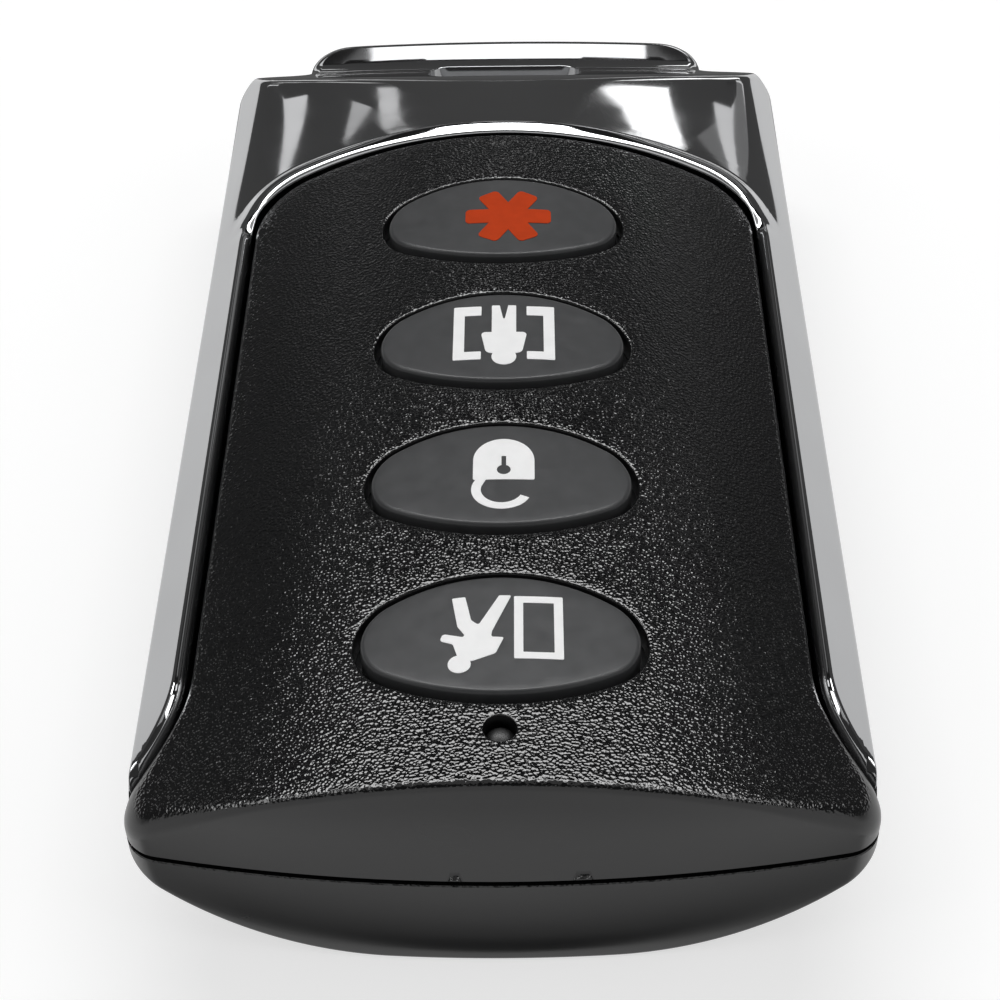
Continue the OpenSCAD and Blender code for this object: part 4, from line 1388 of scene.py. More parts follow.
@dataclass
class FrontCover:
    """The grained upper shell with its openings."""

    form: CaseForm
    keys: KeySet
    edge_r: float = 0.4
    corner_r: float = 1.0
    side_r: float = 0.22
    opening_r: float = 0.16
    led_d: float = 1.42
    led_edge: float = 0.06
    lip: float = 0.05
    notch_h: float = 0.2
    notches: tuple[tuple[float, float], ...] = ((-2.0, 0.6), (3.5, 0.9))
    spacing: float = 0.5
    thin: int = 3
    notch_sides: int = 40
    round_reach: tuple[float, float] = (6.5, 3.0)
    corner_reach: tuple[float, float] = (10.0, 16.0)
    lean_reach: float = 6.0
    bay_clear: float = 0.2
    bay_rise: float = 0.4

    def __post_init__(self) -> None:
        """Takes the status light's place from the frame."""
        self.led_y = solid_box("light_pipe")[0][1]

    def _crown(self, x: np.ndarray, y: np.ndarray) -> np.ndarray:
        """Gives the height of the face."""
        return self.form.crown(x)

    def _ceiling(self, x: np.ndarray, y: np.ndarray) -> np.ndarray:
        """Gives the height of the face's underside."""
        return self.form.crown(x, -self.form.wall)

    def _radius(self, loop: np.ndarray) -> np.ndarray:
        """Gives the round along the outline: small at the seam, wider along the near end and its corners.

        Args:
            loop: The outline.

        Returns:
            The radius at each point.
        """
        near = self.form.nearness(loop[:, 1], *self.round_reach)
        corner = smooth_step(np.abs(loop[:, 0]), *self.corner_reach)
        wide = self.edge_r + (self.corner_r - self.edge_r) * corner
        return self.side_r + (wide - self.side_r) * near

    def build(self) -> None:
        """Builds and dresses the cover."""
        form = self.form
        base = mirrored(form.face_half_outline())
        radius = self._radius(base)
        near = base[:, 1] < form.near_y + self.lean_reach
        top_z = form.crown(base[:, 0]) - radius
        top = base + np.column_stack((np.zeros(len(base)), np.where(near, form.lean(top_z), 0)))
        holes = [Rim(self.keys.opening(key), self.opening_r) for key in KeyName]
        led = arc((0, self.led_y), self.led_d / 2, 360, 0, step=0.1)[:-1]
        holes.append(Rim(led, self.led_edge))
        xs = np.arange(-form.half, form.half, self.spacing)
        ys = np.arange(form.near_y, form.arch_y, self.spacing)
        draft = Draft()
        draft.sheet(Sheet([Rim(top, radius, WIDE_STEPS)], holes, xs, ys), self._crown)
        rim = inset(base, self.lip)
        runs = wall_runs(base, top_z, form.front_z + self.lip, lambda z: np.where(near, form.lean(z), 0))
        draft.walls([*runs, raised(rim, form.front_z)])
        bay = form.bay(form.face_half - form.wall, form.arch(-form.wall), self.bay_clear, self.bay_rise)
        draft.sheet(Sheet([Rim(rim)], [Rim(bay)]), flat_at(form.front_z), False)
        inner = Sheet([Rim(bay)], [Rim(hole.loop) for hole in holes], xs[:: self.thin], ys[:: self.thin])
        draft.sheet(inner, self._ceiling, False)
        draft.band(raised(bay, form.front_z), raised(bay, self._ceiling(*bay.T)))
        for hole in holes:
            upper = raised(hole.loop, self._crown(*hole.loop.T) - hole.rounds())
            draft.band(upper, raised(hole.loop, self._ceiling(*hole.loop.T)))
        piece = draft.piece("front_shell", FINISHES["case_black"])
        self._cut_notches(piece)
        dress(piece, "case", "case_black", "front_cover")

    def _cut_notches(self, piece: bpy.types.Object) -> None:
        """Cuts the two round opening notches into the near rim.

        Args:
            piece: The cover.
        """
        form = self.form
        count = self.notch_sides
        turn = np.linspace(0, 2 * math.pi, count, endpoint=False)
        ends = (form.near_y - form.end_wall / 2, form.near_y + form.end_wall / 2)
        cutter = Draft()
        for x, width in self.notches:
            radius = arc_radius(width / 2, self.notch_h)
            across = x + radius * np.cos(turn)
            z = form.front_z + self.notch_h - radius + radius * np.sin(turn)
            rings = np.vstack([np.column_stack((across, np.full(count, y), z)) for y in ends])
            sides = [(k, (k + 1) % count, (k + 1) % count + count, k + count) for k in range(count)]
            cutter.add(rings, sides + [tuple(range(count))[::-1], tuple(range(count, 2 * count))])
        tool = cutter.piece("notch_tool", FINISHES["case_black"])
        cut = piece.modifiers.new("notches", "BOOLEAN")
        cut.operation = "DIFFERENCE"
        cut.object = tool
        cut.solver = "EXACT"
        graph = bpy.context.evaluated_depsgraph_get()
        piece.data = bpy.data.meshes.new_from_object(piece.evaluated_get(graph))
        piece.modifiers.clear()
        piece.data.set_sharp_from_angle(angle=math.radians(SHARP))
        bpy.data.objects.remove(tool)


@dataclass
class LightPipe:
    """The smoked pipe that stands under the status light's hole."""

    form: CaseForm
    radius: float = 0.6
    dome: float = 0.3
    sunk: float = 0.25
    collar_t: float = 0.3
    collar_gap: float = 0.25

    def build(self) -> None:
        """Builds and dresses the pipe inside its solid's box."""
        centre, low, high = solid_box("light_pipe")
        collar = (high.x - low.x) / 2 / MM
        foot, top = low.z / MM, high.z / MM - self.sunk
        shelf = self.form.face_z - self.form.wall - self.collar_gap
        under = shelf - self.collar_t
        round_r = arc_radius(self.radius, self.dome)
        turn = math.degrees(math.asin(self.radius / round_r))
        crest = arc((0, top - round_r), round_r, 90 - turn, 90, step=0.08)
        profile = [(0, foot), (self.radius, foot), (self.radius, under), (collar, under)]
        profile += [(collar, shelf), (self.radius, shelf), *((float(x), float(z)) for x, z in crest)]
        draft = Draft()
        draft.lathe(profile, centre)
        dress(draft.piece("pipe_tip", FINISHES["clear_plastic"]), "case", "clear_plastic", "light_pipe")


@dataclass
class RearCover:
    """The lower shell with its curved back."""

    form: CaseForm
    far_y: float = 23.45
    near_r: float = 0.3
    side_r: float = 0.25
    lip: float = 0.05
    under: float = 0.15
    least_side: float = 0.5
    least_bay: float = 0.3
    spacing: float = 0.6
    thin: int = 2
    outline_step: float = 0.5
    round_reach: tuple[float, float] = (4.5, 1.8)
    lean_reach: tuple[float, float] = (5.0, 2.0)
    bay_clear: float = 0.1
    bay_rise: float = 0.3

    def _under(self, x: np.ndarray, y: np.ndarray) -> np.ndarray:
        """Gives the height of the underside."""
        return np.minimum(self.form.back(x, y), self.form.rear_z - self.least_side)

    def _floor(self, x: np.ndarray, y: np.ndarray) -> np.ndarray:
        """Gives the height of the floor inside."""
        return np.minimum(self.form.back(x, y, self.form.wall), self.form.rear_z - self.least_bay)

    def build(self) -> None:
        """Builds and dresses the cover."""
        form = self.form
        half = joined(form.near_end(), [(form.half, self.far_y), (0, self.far_y)])
        base = refined(mirrored(refined(half)), self.outline_step, True)
        near = form.nearness(base[:, 1], *self.round_reach)
        radius = self.side_r + (self.near_r - self.side_r) * near
        end = form.nearness(base[:, 1], *self.lean_reach)
        foot_z = self._under(*base.T) + radius
        brow_z = np.maximum(foot_z, form.rear_z - self.lip)
        runs = wall_runs(base, brow_z, foot_z, lambda z: self.under * end * (1 - z / form.rear_z) ** 2)
        xs = np.arange(-form.half, form.half, self.spacing)
        ys = np.arange(form.near_y, self.far_y, self.spacing)
        draft = Draft()
        draft.walls(runs)
        draft.sheet(Sheet([Rim(runs[-1][:, :2], radius, WIDE_STEPS)], (), xs, ys), self._under, False)
        rim = inset(runs[0][:, :2], self.lip)
        draft.band(raised(rim, form.rear_z), runs[0])
        side, far = form.face_half + form.seam, self.far_y - form.wall
        bay = form.bay(side, np.array([(side, far), (0, far)]), self.bay_clear, self.bay_rise)
        draft.sheet(Sheet([Rim(rim)], [Rim(bay)]), flat_at(form.rear_z))
        draft.sheet(Sheet([Rim(bay)], (), xs[:: self.thin], ys[:: self.thin]), self._floor)
        draft.band(raised(bay, self._floor(*bay.T)), raised(bay, form.rear_z))
        dress(draft.piece("rear_shell", FINISHES["case_black"]), "case", "case_black", "rear_cover")


@dataclass
class TrimFrame:
    """The plated frame: two rails, the crowned nose with its bead, and the lug."""

    form: CaseForm
    seam: float = 0.32
    ridge_z: float = 9.0
    ridge_in: float = 1.8
    edge_z: float = 7.3
    chamfer_w: float = 0.5
    chamfer_drop: float = 0.92
    crown_x: float = 15.0
    nose_y: float = 8.85
    bead_w: float = 1.5
    bead_h: float = 0.3
    bead_flat: float = 1.0
    facet_end_y: float = 24.0
    facet_end_z: float = 9.9
    facet_r: float = 120.0
    bevel_slope: float = 0.52
    bevel_r: float = 400.0
    end_y: float = 28.7
    far_bulge: float = 1.4
    far_corner: float = 2.4
    lug_half: float = 12.4
    lug_bulge: float = 0.6
    lug_corner: float = 2.6
    lug_top: float = 7.4
    lug_under: float = 3.7
    shoulder: float = 1.5
    bar: float = 3.6
    bar_r: float = 0.8
    slot_w: float = 9.4
    slot_l: float = 4.2
    slot_r: float = 1.2
    slot_edge: float = 0.06
    step_y: float = 23.7
    seam_r: float = 0.12
    side_r: float = 0.14
    trim_wall: float = 1.5
    bead_start: tuple[float, float] = (1.2, 2.4)
    flat_reach: tuple[float, float] = (3.0, 10.0)
    flat_rise: float = 0.15
    nose_start: tuple[float, float] = (0.4, 2.4)
    chamfer_blend: float = 0.2
    edge_blend: float = 0.5
    bevel_blend: float = 0.3
    facet_ease: float = 0.01
    lug_fall: float = 0.2
    lug_fall_w: float = 3.4
    lug_sink: float = 2.0
    lug_reach: float = 1.0
    lug_blend: float = 0.5
    bar_reach: tuple[float, float] = (-2.6, 0.8)
    seam_near: float = 0.01
    tip_r: float = 0.02
    tip_growth: float = 0.08
    sharp: float = 40.0
    grid: float = 0.45
    grid_start: float = -28.0
    rings: tuple[float, ...] = (
        0.3, 0.4, 0.5, 0.6, 0.7, 0.8, 0.9, 1.0, 1.2, 1.35, 1.5, 1.65, 1.8, 1.95, 2.1,
    )
    bends: tuple[float, ...] = (9.55, 10.75, 16.1, 24.0, 27.9)
    bend_grid: float = 0.11
    bend_lines: int = 6
    bend_reach: float = 0.85
    rim_band: float = 0.08
    under_grid: float = 0.6
    line_step: float = 0.5
    hollow_y: float = 12.0
    hollow_grid: float = 0.8
    hollow_gap: float = 1.3
    hollow_in: float = 0.8

    def __post_init__(self) -> None:
        """Works out the crown that the nose shares with the ridges."""
        self.ridge_x = self.form.half - self.ridge_in
        self.crown_r = math.hypot(self.crown_x, self.ridge_z - self.form.crown_c)

    def _inner_half(self) -> np.ndarray:
        """Gives the right half of the seam's edge.

        Returns:
            The points from the rail's tip to the arch's crest.
        """
        form = self.form
        arch = form.arch(form.seam)
        slope = form.flare(self.seam, arch[0, 1])
        tip = slope[0] + (slope[0] - slope[1]) / (slope[0] - slope[1])[0] * (form.half - slope[0, 0])
        return refined(joined([tip], slope, arch), step=0.3)

    def _outer_half(self) -> np.ndarray:
        """Gives the right half of the outer edge.

        Returns:
            The points from the rail's tip round to the lug's crest.
        """
        form = self.form
        far_r = arc_radius(form.half, self.far_bulge)
        far_c = self.end_y - far_r
        corner_x = form.half - self.far_corner
        corner_y, meet = on_arc(far_c, far_r - self.far_corner, corner_x)
        foot_x = self.lug_half + self.shoulder
        foot_y, foot = on_arc(far_c, far_r, foot_x)
        lug_r = arc_radius(self.lug_half, self.lug_bulge)
        lug_c = form.far_y - lug_r
        lug_x = self.lug_half - self.lug_corner
        lug_y, lug_meet = on_arc(lug_c, lug_r - self.lug_corner, lug_x)
        return refined(
            joined(
                [self._inner_half()[0], (form.half, self.step_y)],
                arc((corner_x, corner_y), self.far_corner, 0, meet, step=0.15),
                arc((0, far_c), far_r, meet, foot, step=0.3),
                arc((foot_x, foot_y + self.shoulder), self.shoulder, 270, 180, step=0.15),
                arc((lug_x, lug_y), self.lug_corner, 0, lug_meet, step=0.15),
                arc((0, lug_c), lug_r, lug_meet, 90, step=0.4),
            )
        )

    def _slot(self) -> np.ndarray:
        """Gives the slot's outline.

        Returns:
            The closed loop, clockwise.
        """
        half = self.slot_w / 2
        far = self.form.far_y - self.bar
        near = far - self.slot_l
        r = self.slot_r
        corners = ((-half, near, r), (half, near, r), (half, far, r), (-half, far, r))
        return refined(filleted(corners, step=0.15, closed=True), step=0.3, closed=True)[::-1]

    def _from_seam(self, x: np.ndarray, y: np.ndarray) -> np.ndarray:
        """Gives the distance to the seam."""
        return distance_to(np.column_stack((x, y)), self.seam_path, False)

    def _bead(self, x: np.ndarray, y: np.ndarray) -> np.ndarray:
        """Gives the height of the bead along the arch, whose near side is flat in its middle part.

        Args:
            x: X of each place.
            y: Y of each place.

        Returns:
            The height over the nose at each place.
        """
        half = self.bead_w / 2
        share = np.clip((self._from_seam(x, y) - half) / half, -1, 1)
        start, full = self.bead_start
        grown = smooth_step(y, self.nose_y + start, self.nose_y + full)
        slope = self.bead_flat * (1 - smooth_step(np.abs(x), *self.flat_reach))
        crest = 1 + self.flat_rise * slope
        round_side = np.sqrt(np.maximum(1 - share**2, 0))
        near_side = round_side + (crest * (1 + share) - round_side) * slope
        far_side = crest * (1 + np.cos(np.pi * share)) / 2
        return self.bead_h * grown * np.where(share < 0, near_side, far_side)

    def _bevel(self, x: np.ndarray) -> np.ndarray:
        """Gives the height of the outer bevel, which falls from the ridge to the side."""
        return self.ridge_z - (np.abs(x) - self.ridge_x) * (self.ridge_z - self.edge_z) / self.ridge_in

    def _rail(self, x: np.ndarray, y: np.ndarray) -> np.ndarray:
        """Gives the height of the rails: the outer bevel, and a chamfer that follows the seam.

        Args:
            x: X of each place.
            y: Y of each place.

        Returns:
            The height at each place.
        """
        outer = self._bevel(x)
        chamfer = outer - self.chamfer_drop * (1 - self._from_seam(x, y) / self.chamfer_w)
        return soft_min(outer, chamfer, self.chamfer_blend)

    def _nose(self, x: np.ndarray, y: np.ndarray) -> np.ndarray:
        """Gives the height of the nose and the lug.

        Args:
            x: X of each place.
            y: Y of each place.

        Returns:
            The height at each place.
        """
        form = self.form
        start_y = form.arch_y - form.arch_r + np.sqrt(form.arch_r**2 - x * x)
        start_z = form.crown_c + np.sqrt(self.crown_r**2 - x * x) - self.bead_h
        stop_z = self.facet_end_z - x * x / (2 * self.facet_r)
        share = (y - start_y) / (self.facet_end_y - start_y)
        share = (share + np.sqrt(share**2 + self.facet_ease)) / 2
        facet = start_z + (stop_z - start_z) * share
        bevel = self.facet_end_z + (self.facet_end_y - y) * self.bevel_slope - x * x / (2 * self.bevel_r)
        top = soft_min(facet + self._bead(x, y), self._bevel(x), self.edge_blend)
        top = soft_min(top, bevel, self.bevel_blend)
        fall = smooth_step(np.abs(x), self.lug_half - self.lug_fall_w, self.lug_half + self.shoulder)
        sunk = 1 - smooth_step(y, self.facet_end_y, self.end_y - self.lug_reach)
        lug = self.lug_top - fall * self.lug_fall - self.lug_sink * sunk
        return -soft_min(-top, -lug, self.lug_blend)

    def _top(self, x: np.ndarray, y: np.ndarray) -> np.ndarray:
        """Gives the height of the whole frame, eased from the rails to the nose.

        Args:
            x: X of each place.
            y: Y of each place.

        Returns:
            The height at each place.
        """
        start, full = self.nose_start
        share = smooth_step(y, self.nose_y + start, self.nose_y + full)
        rail = np.where(share < 1, self._rail(x, y), 0)
        return rail + (self._nose(x, y) - rail) * share

    def _under(self, x: np.ndarray, y: np.ndarray) -> np.ndarray:
        """Gives the height of the underside past the rear cover."""
        return np.maximum(self.form.back(x, np.zeros_like(x)), self.lug_under)

    def _ceiling(self, x: np.ndarray, y: np.ndarray) -> np.ndarray:
        """Gives the height of the hollow's ceiling."""
        return self._top(x, y) - self.trim_wall

    def _radius(self, loop: np.ndarray) -> np.ndarray:
        """Gives the round along the outline: small on the rails and wide round the lug.

        Args:
            loop: The outline.

        Returns:
            The radius at each point.
        """
        start, full = self.bar_reach
        lug = smooth_step(loop[:, 1], self.end_y + start, self.end_y + full)
        seam = self._from_seam(*loop.T) < self.seam_near
        width = loop[:, 1] - self._inner_half()[0, 1]
        fine = np.where(seam, self.seam_r, self.side_r + (self.bar_r - self.side_r) * lug)
        return np.minimum(fine, self.tip_r + self.tip_growth * np.maximum(width, 0))

    def build(self) -> None:
        """Builds and dresses the frame."""
        form = self.form
        inner = self._inner_half()
        outer = self._outer_half()
        self.seam_path = np.vstack((inner * (-1, 1), inner[-2::-1]))
        outer_path = np.vstack((outer, (outer * (-1, 1))[-2::-1]))
        loop = np.vstack((outer_path, self.seam_path[1:-1]))
        radius = self._radius(loop)
        slot = self._slot()
        rim = Rim(loop, radius, WIDE_STEPS, self.rings)
        xs = np.arange(-form.half, form.half, self.grid)
        draft = Draft()
        draft.sheet(Sheet([rim], [Rim(slot, self.slot_edge)], xs, self._lines()), self._top)
        self._walls(draft, loop, radius, slot)
        self._underside(draft, loop, radius, slot)
        piece = draft.piece("plated_trim", FINISHES["trim_chrome"], self.sharp)
        dress(piece, "case", "trim_chrome", "trim_frame")

    def _lines(self) -> np.ndarray:
        """Gives the grid lines along the frame, closer round the places where the surface bends.

        Returns:
            Y of each line.
        """
        start, stop = self.grid_start, self.form.far_y
        turns = range(-self.bend_lines, self.bend_lines + 1)
        lines = [place + k * self.bend_grid for place in self.bends for k in turns]
        for y in np.arange(start, stop, self.grid):
            if min(abs(y - place) for place in self.bends) > self.bend_reach:
                lines.append(float(y))
        return np.array(sorted(y for y in lines if start < y < stop))

    def _foot(self, loop: np.ndarray, radius: np.ndarray) -> np.ndarray:
        """Gives the height of the wall's foot along the outline.

        Args:
            loop: The outline.
            radius: The round at each of its points.

        Returns:
            The height at each point.
        """
        low = self._under(*loop.T) + np.minimum(radius, self.bar_r)
        return np.where(loop[:, 1] > self.step_y + 1e-6, low, self.form.front_z)

    def _walls(self, draft: Draft, loop: np.ndarray, radius: np.ndarray, slot: np.ndarray) -> None:
        """Adds the walls along the outline and through the slot.

        Args:
            draft: Takes the faces.
            loop: The outline.
            radius: The round at each of its points.
            slot: The slot's outline.
        """
        upper = raised(loop, self._top(*loop.T) - radius)
        draft.walls((upper, upper - (0, 0, self.rim_band), raised(loop, self._foot(loop, radius))))
        top = raised(slot, self._top(*slot.T) - self.slot_edge)
        draft.band(top, raised(slot, self._under(*slot.T) + self.slot_edge))

    def _underside(self, draft: Draft, loop: np.ndarray, radius: np.ndarray, slot: np.ndarray) -> None:
        """Adds the underside: level under the rails, with a hollow, and lower past the rear cover.

        Args:
            draft: Takes the faces.
            loop: The outline.
            radius: The round at each of its points.
            slot: The slot's outline.
        """
        form = self.form
        past = np.flatnonzero(loop[:, 1] > self.step_y - 1e-6)
        first, last = int(past[0]), int(past[-1])
        line = refined(np.array((loop[last], loop[first])), self.line_step)
        lug = np.vstack((loop[first : last + 1], line[1:-1]))
        lug_r = np.concatenate((radius[first : last + 1], np.zeros(len(line) - 2)))
        lug_r[0] = lug_r[last - first] = 0
        xs = np.arange(-form.half, form.half, self.under_grid)
        ys = np.arange(self.step_y, form.far_y, self.under_grid)
        draft.sheet(Sheet([Rim(lug, lug_r)], [Rim(slot, self.slot_edge)], xs, ys), self._under, False)
        rails = np.vstack((loop[: first + 1], line[::-1][1:-1], loop[last:]))
        hollow = self._hollow()
        draft.sheet(Sheet([Rim(rails)], [Rim(hollow)]), flat_at(form.front_z), False)
        ys = np.arange(self.hollow_y, self.step_y, self.hollow_grid)
        draft.sheet(Sheet([Rim(hollow[::-1])], (), xs, ys), self._ceiling, False)
        draft.band(raised(hollow, self._ceiling(*hollow.T)), raised(hollow, form.front_z))
        draft.band(raised(line, form.front_z), raised(line, self._under(*line.T)), False)

    def _hollow(self) -> np.ndarray:
        """Gives the outline of the hollow under the nose.

        Returns:
            The closed loop, clockwise.
        """
        form = self.form
        reach = form.arch_r + form.seam + self.hollow_gap
        side = form.face_half - form.wall - self.hollow_in
        start = math.degrees(math.acos(side / reach))
        near = arc((0, form.arch_y - form.arch_r), reach, 180 - start, start, step=0.5)
        far = self.step_y - form.wall
        return refined(joined(near, [(side, far), (-side, far)]), step=0.5, closed=True)


@dataclass
class SnapDomes:
    """The sprung sheets under the switch plungers, built domed as they rest; the real ones flatten as their
    keys go down.
    """

    sheet_t: float = 0.08
    pressed: float = 0.2
    step: float = 0.12

    def build(self) -> None:
        """Builds and dresses the four domes inside their solids' boxes."""
        for key in KeyName:
            node = f"{key.value}_switch_dome"
            centre, low, high = solid_box(node)
            draft = Draft()
            draft.lathe(self._profile((high.x - low.x) / 2 / MM, low.z / MM, high.z / MM), centre)
            piece = draft.piece(f"{key.value}_snap_sheet", FINISHES["contact_steel"])
            dress(piece, "case", "contact_steel", node)
            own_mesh(piece)

    def _profile(self, radius: float, foot: float, top: float) -> list[tuple[float, float]]:
        """Gives the sheet's section, from the middle of its underside round its edge to its crest.

        Args:
            radius: Radius of its edge.
            foot: Height of its edge.
            top: Height of its crest.

        Returns:
            Radius and height of each point.
        """
        outer = arc_radius(radius, top - foot)
        inner = outer - self.sheet_t
        hub = (0, top - outer)
        rise = foot - hub[1]
        under = arc(hub, inner, 90, math.degrees(math.asin(rise / inner)), self.step)
        crest = arc(hub, outer, math.degrees(math.asin(rise / outer)), 90, self.step)
        return [(float(r), float(z)) for r, z in np.vstack((under, crest))]


class Internals:
    """The nodes that keep their own solids and take a finish from the record's slots."""

    def dress(self) -> None:
        """Gives every node the finish of its slot, and reports those that show."""
        for row in frame["record"]["subparts"]:
            node = frame["nodes"][row["node"]]
            finish = FINISHES[row["material_slot"]]
            for slot in node.material_slots:
                slot.link = "OBJECT"
                slot.material = finish.material()
            if not node.hide_render:
                LOG.info("%s: %s", row["node"], finish.name)


def plain_material(name: str, tone: float, roughness: float, glow: float = 0.0) -> bpy.types.Material:
    """Makes a dull grey material for a studio surface.

    Args:
        name: Its name.
        tone: Level of its grey.
        roughness: Its roughness.
        glow: Strength of its light.

    Returns:
        The material.
    """
    material = bpy.data.materials.new(name)
    material.use_nodes = True
    inputs = material.node_tree.nodes["Principled BSDF"].inputs
    inputs["Base Color"].default_value = (tone, tone, tone, 1)
    inputs["Roughness"].default_value = roughness
    inputs["Specular IOR Level"].default_value = 0.0
    inputs["Emission Color"].default_value = (1, 1, 1, 1)
    inputs["Emission Strength"].default_value = glow
    return material


def studio_piece(
    name: str,
    points: Sequence[Sequence[float]],
    faces: Sequence[Sequence[int]],
    material: bpy.types.Material,
) -> bpy.types.Object:
    """Adds a studio surface, which isn't part of the object.

    Args:
        name: Its name.
        points: Its points, in metres.
        faces: Its faces.
        material: Its material.

    Returns:
        The surface.
    """
    mesh = bpy.data.meshes.new(name)
    mesh.from_pydata(points, [], faces)
    mesh.materials.append(material)
    piece = bpy.data.objects.new(name, mesh)
    bpy.context.scene.collection.objects.link(piece)
    return piece


def studio_card(
    name: str, points: Sequence[Sequence[float]], faces: Sequence[Sequence[int]], glow: float
) -> None:
    """Adds a studio surface that only reflections see.

    Args:
        name: Its name.
        points: Its points, in metres.
        faces: Its faces.
        glow: Strength of its light.
    """
    card = studio_piece(name, points, faces, plain_material(name, 0.02, 1.0, glow))
    for rays in ("camera", "shadow", "diffuse", "transmission"):
        setattr(card, f"visible_{rays}", False)


def level_square(low: tuple[float, float], high: tuple[float, float], z: float) -> list[Colour]:
    """Gives the corners of a level rectangle between two corners in plan."""
    (x1, y1), (x2, y2) = low, high
    return [(x1, y1, z), (x2, y1, z), (x2, y2, z), (x1, y2, z)]


def direction(azimuth: float, elevation: float) -> Vector:
    """Gives the way from the part to a place, with the azimuth in degrees from +Y towards +X."""
    turn, rise = math.radians(azimuth), math.radians(elevation)
    return Vector((math.sin(turn) * math.cos(rise), math.cos(turn) * math.cos(rise), math.sin(rise)))


@dataclass
class Card:
    """A patch of light round the part, with its corners as azimuth and elevation seen from it."""

    name: str
    glow: float
    corners: tuple[tuple[float, float], ...]
    distance: float = 0.6
    middle: Colour = (0.0, 0.02, 0.01)

    def build(self) -> None:
        """Builds the patch on a sphere round the part."""
        points = [Vector(self.middle) + direction(a, e) * self.distance for a, e in self.corners]
        studio_card(self.name, points, [tuple(range(len(points)))], self.glow)


@dataclass
class Flag:
    """A dim screen round the part, between two azimuths and two elevations seen from it."""

    name: str
    distance: float
    turn: tuple[float, float]
    rise: tuple[float, float]
    glow: float
    columns: int = 32
    rows: int = 16

    def build(self) -> None:
        """Builds the screen as part of a sphere."""
        across = np.linspace(*self.turn, self.columns + 1)
        up = np.linspace(*self.rise, self.rows + 1)
        points = [direction(a, e) * self.distance for e in up for a in across]
        width = self.columns + 1
        faces: list[tuple[int, ...]] = []
        for row in range(self.rows):
            for k in range(row * width, row * width + self.columns):
                faces.append((k, k + 1, k + width + 1, k + width))
        studio_card(self.name, points, faces, self.glow)


@dataclass
class Mat:
    """A level card over or beside the part."""

    name: str
    low: tuple[float, float]
    high: tuple[float, float]
    z: float
    glow: float

    def build(self) -> None:
        """Builds the card."""
        studio_card(self.name, level_square(self.low, self.high, self.z), [(0, 1, 2, 3)], self.glow)


@dataclass
class Lamp:
    """A soft area lamp, which reflections don't show."""

    name: str
    place: Colour
    size: tuple[float, float]
    radiance: float
    target: Colour = (0.0, 0.0, 0.006)

    def build(self) -> None:
        """Builds the lamp, turned towards the part."""
        light = bpy.data.lights.new(self.name, "AREA")
        light.shape = "RECTANGLE"
        light.size, light.size_y = self.size
        light.energy = self.radiance * math.pi * self.size[0] * self.size[1]
        lamp = bpy.data.objects.new(self.name, light)
        lamp.location = self.place
        way = Vector(self.target) - Vector(self.place)
        lamp.rotation_euler = way.to_track_quat("-Z", "Y").to_euler()
        lamp.visible_camera = False
        lamp.visible_glossy = False
        bpy.context.scene.collection.objects.link(lamp)


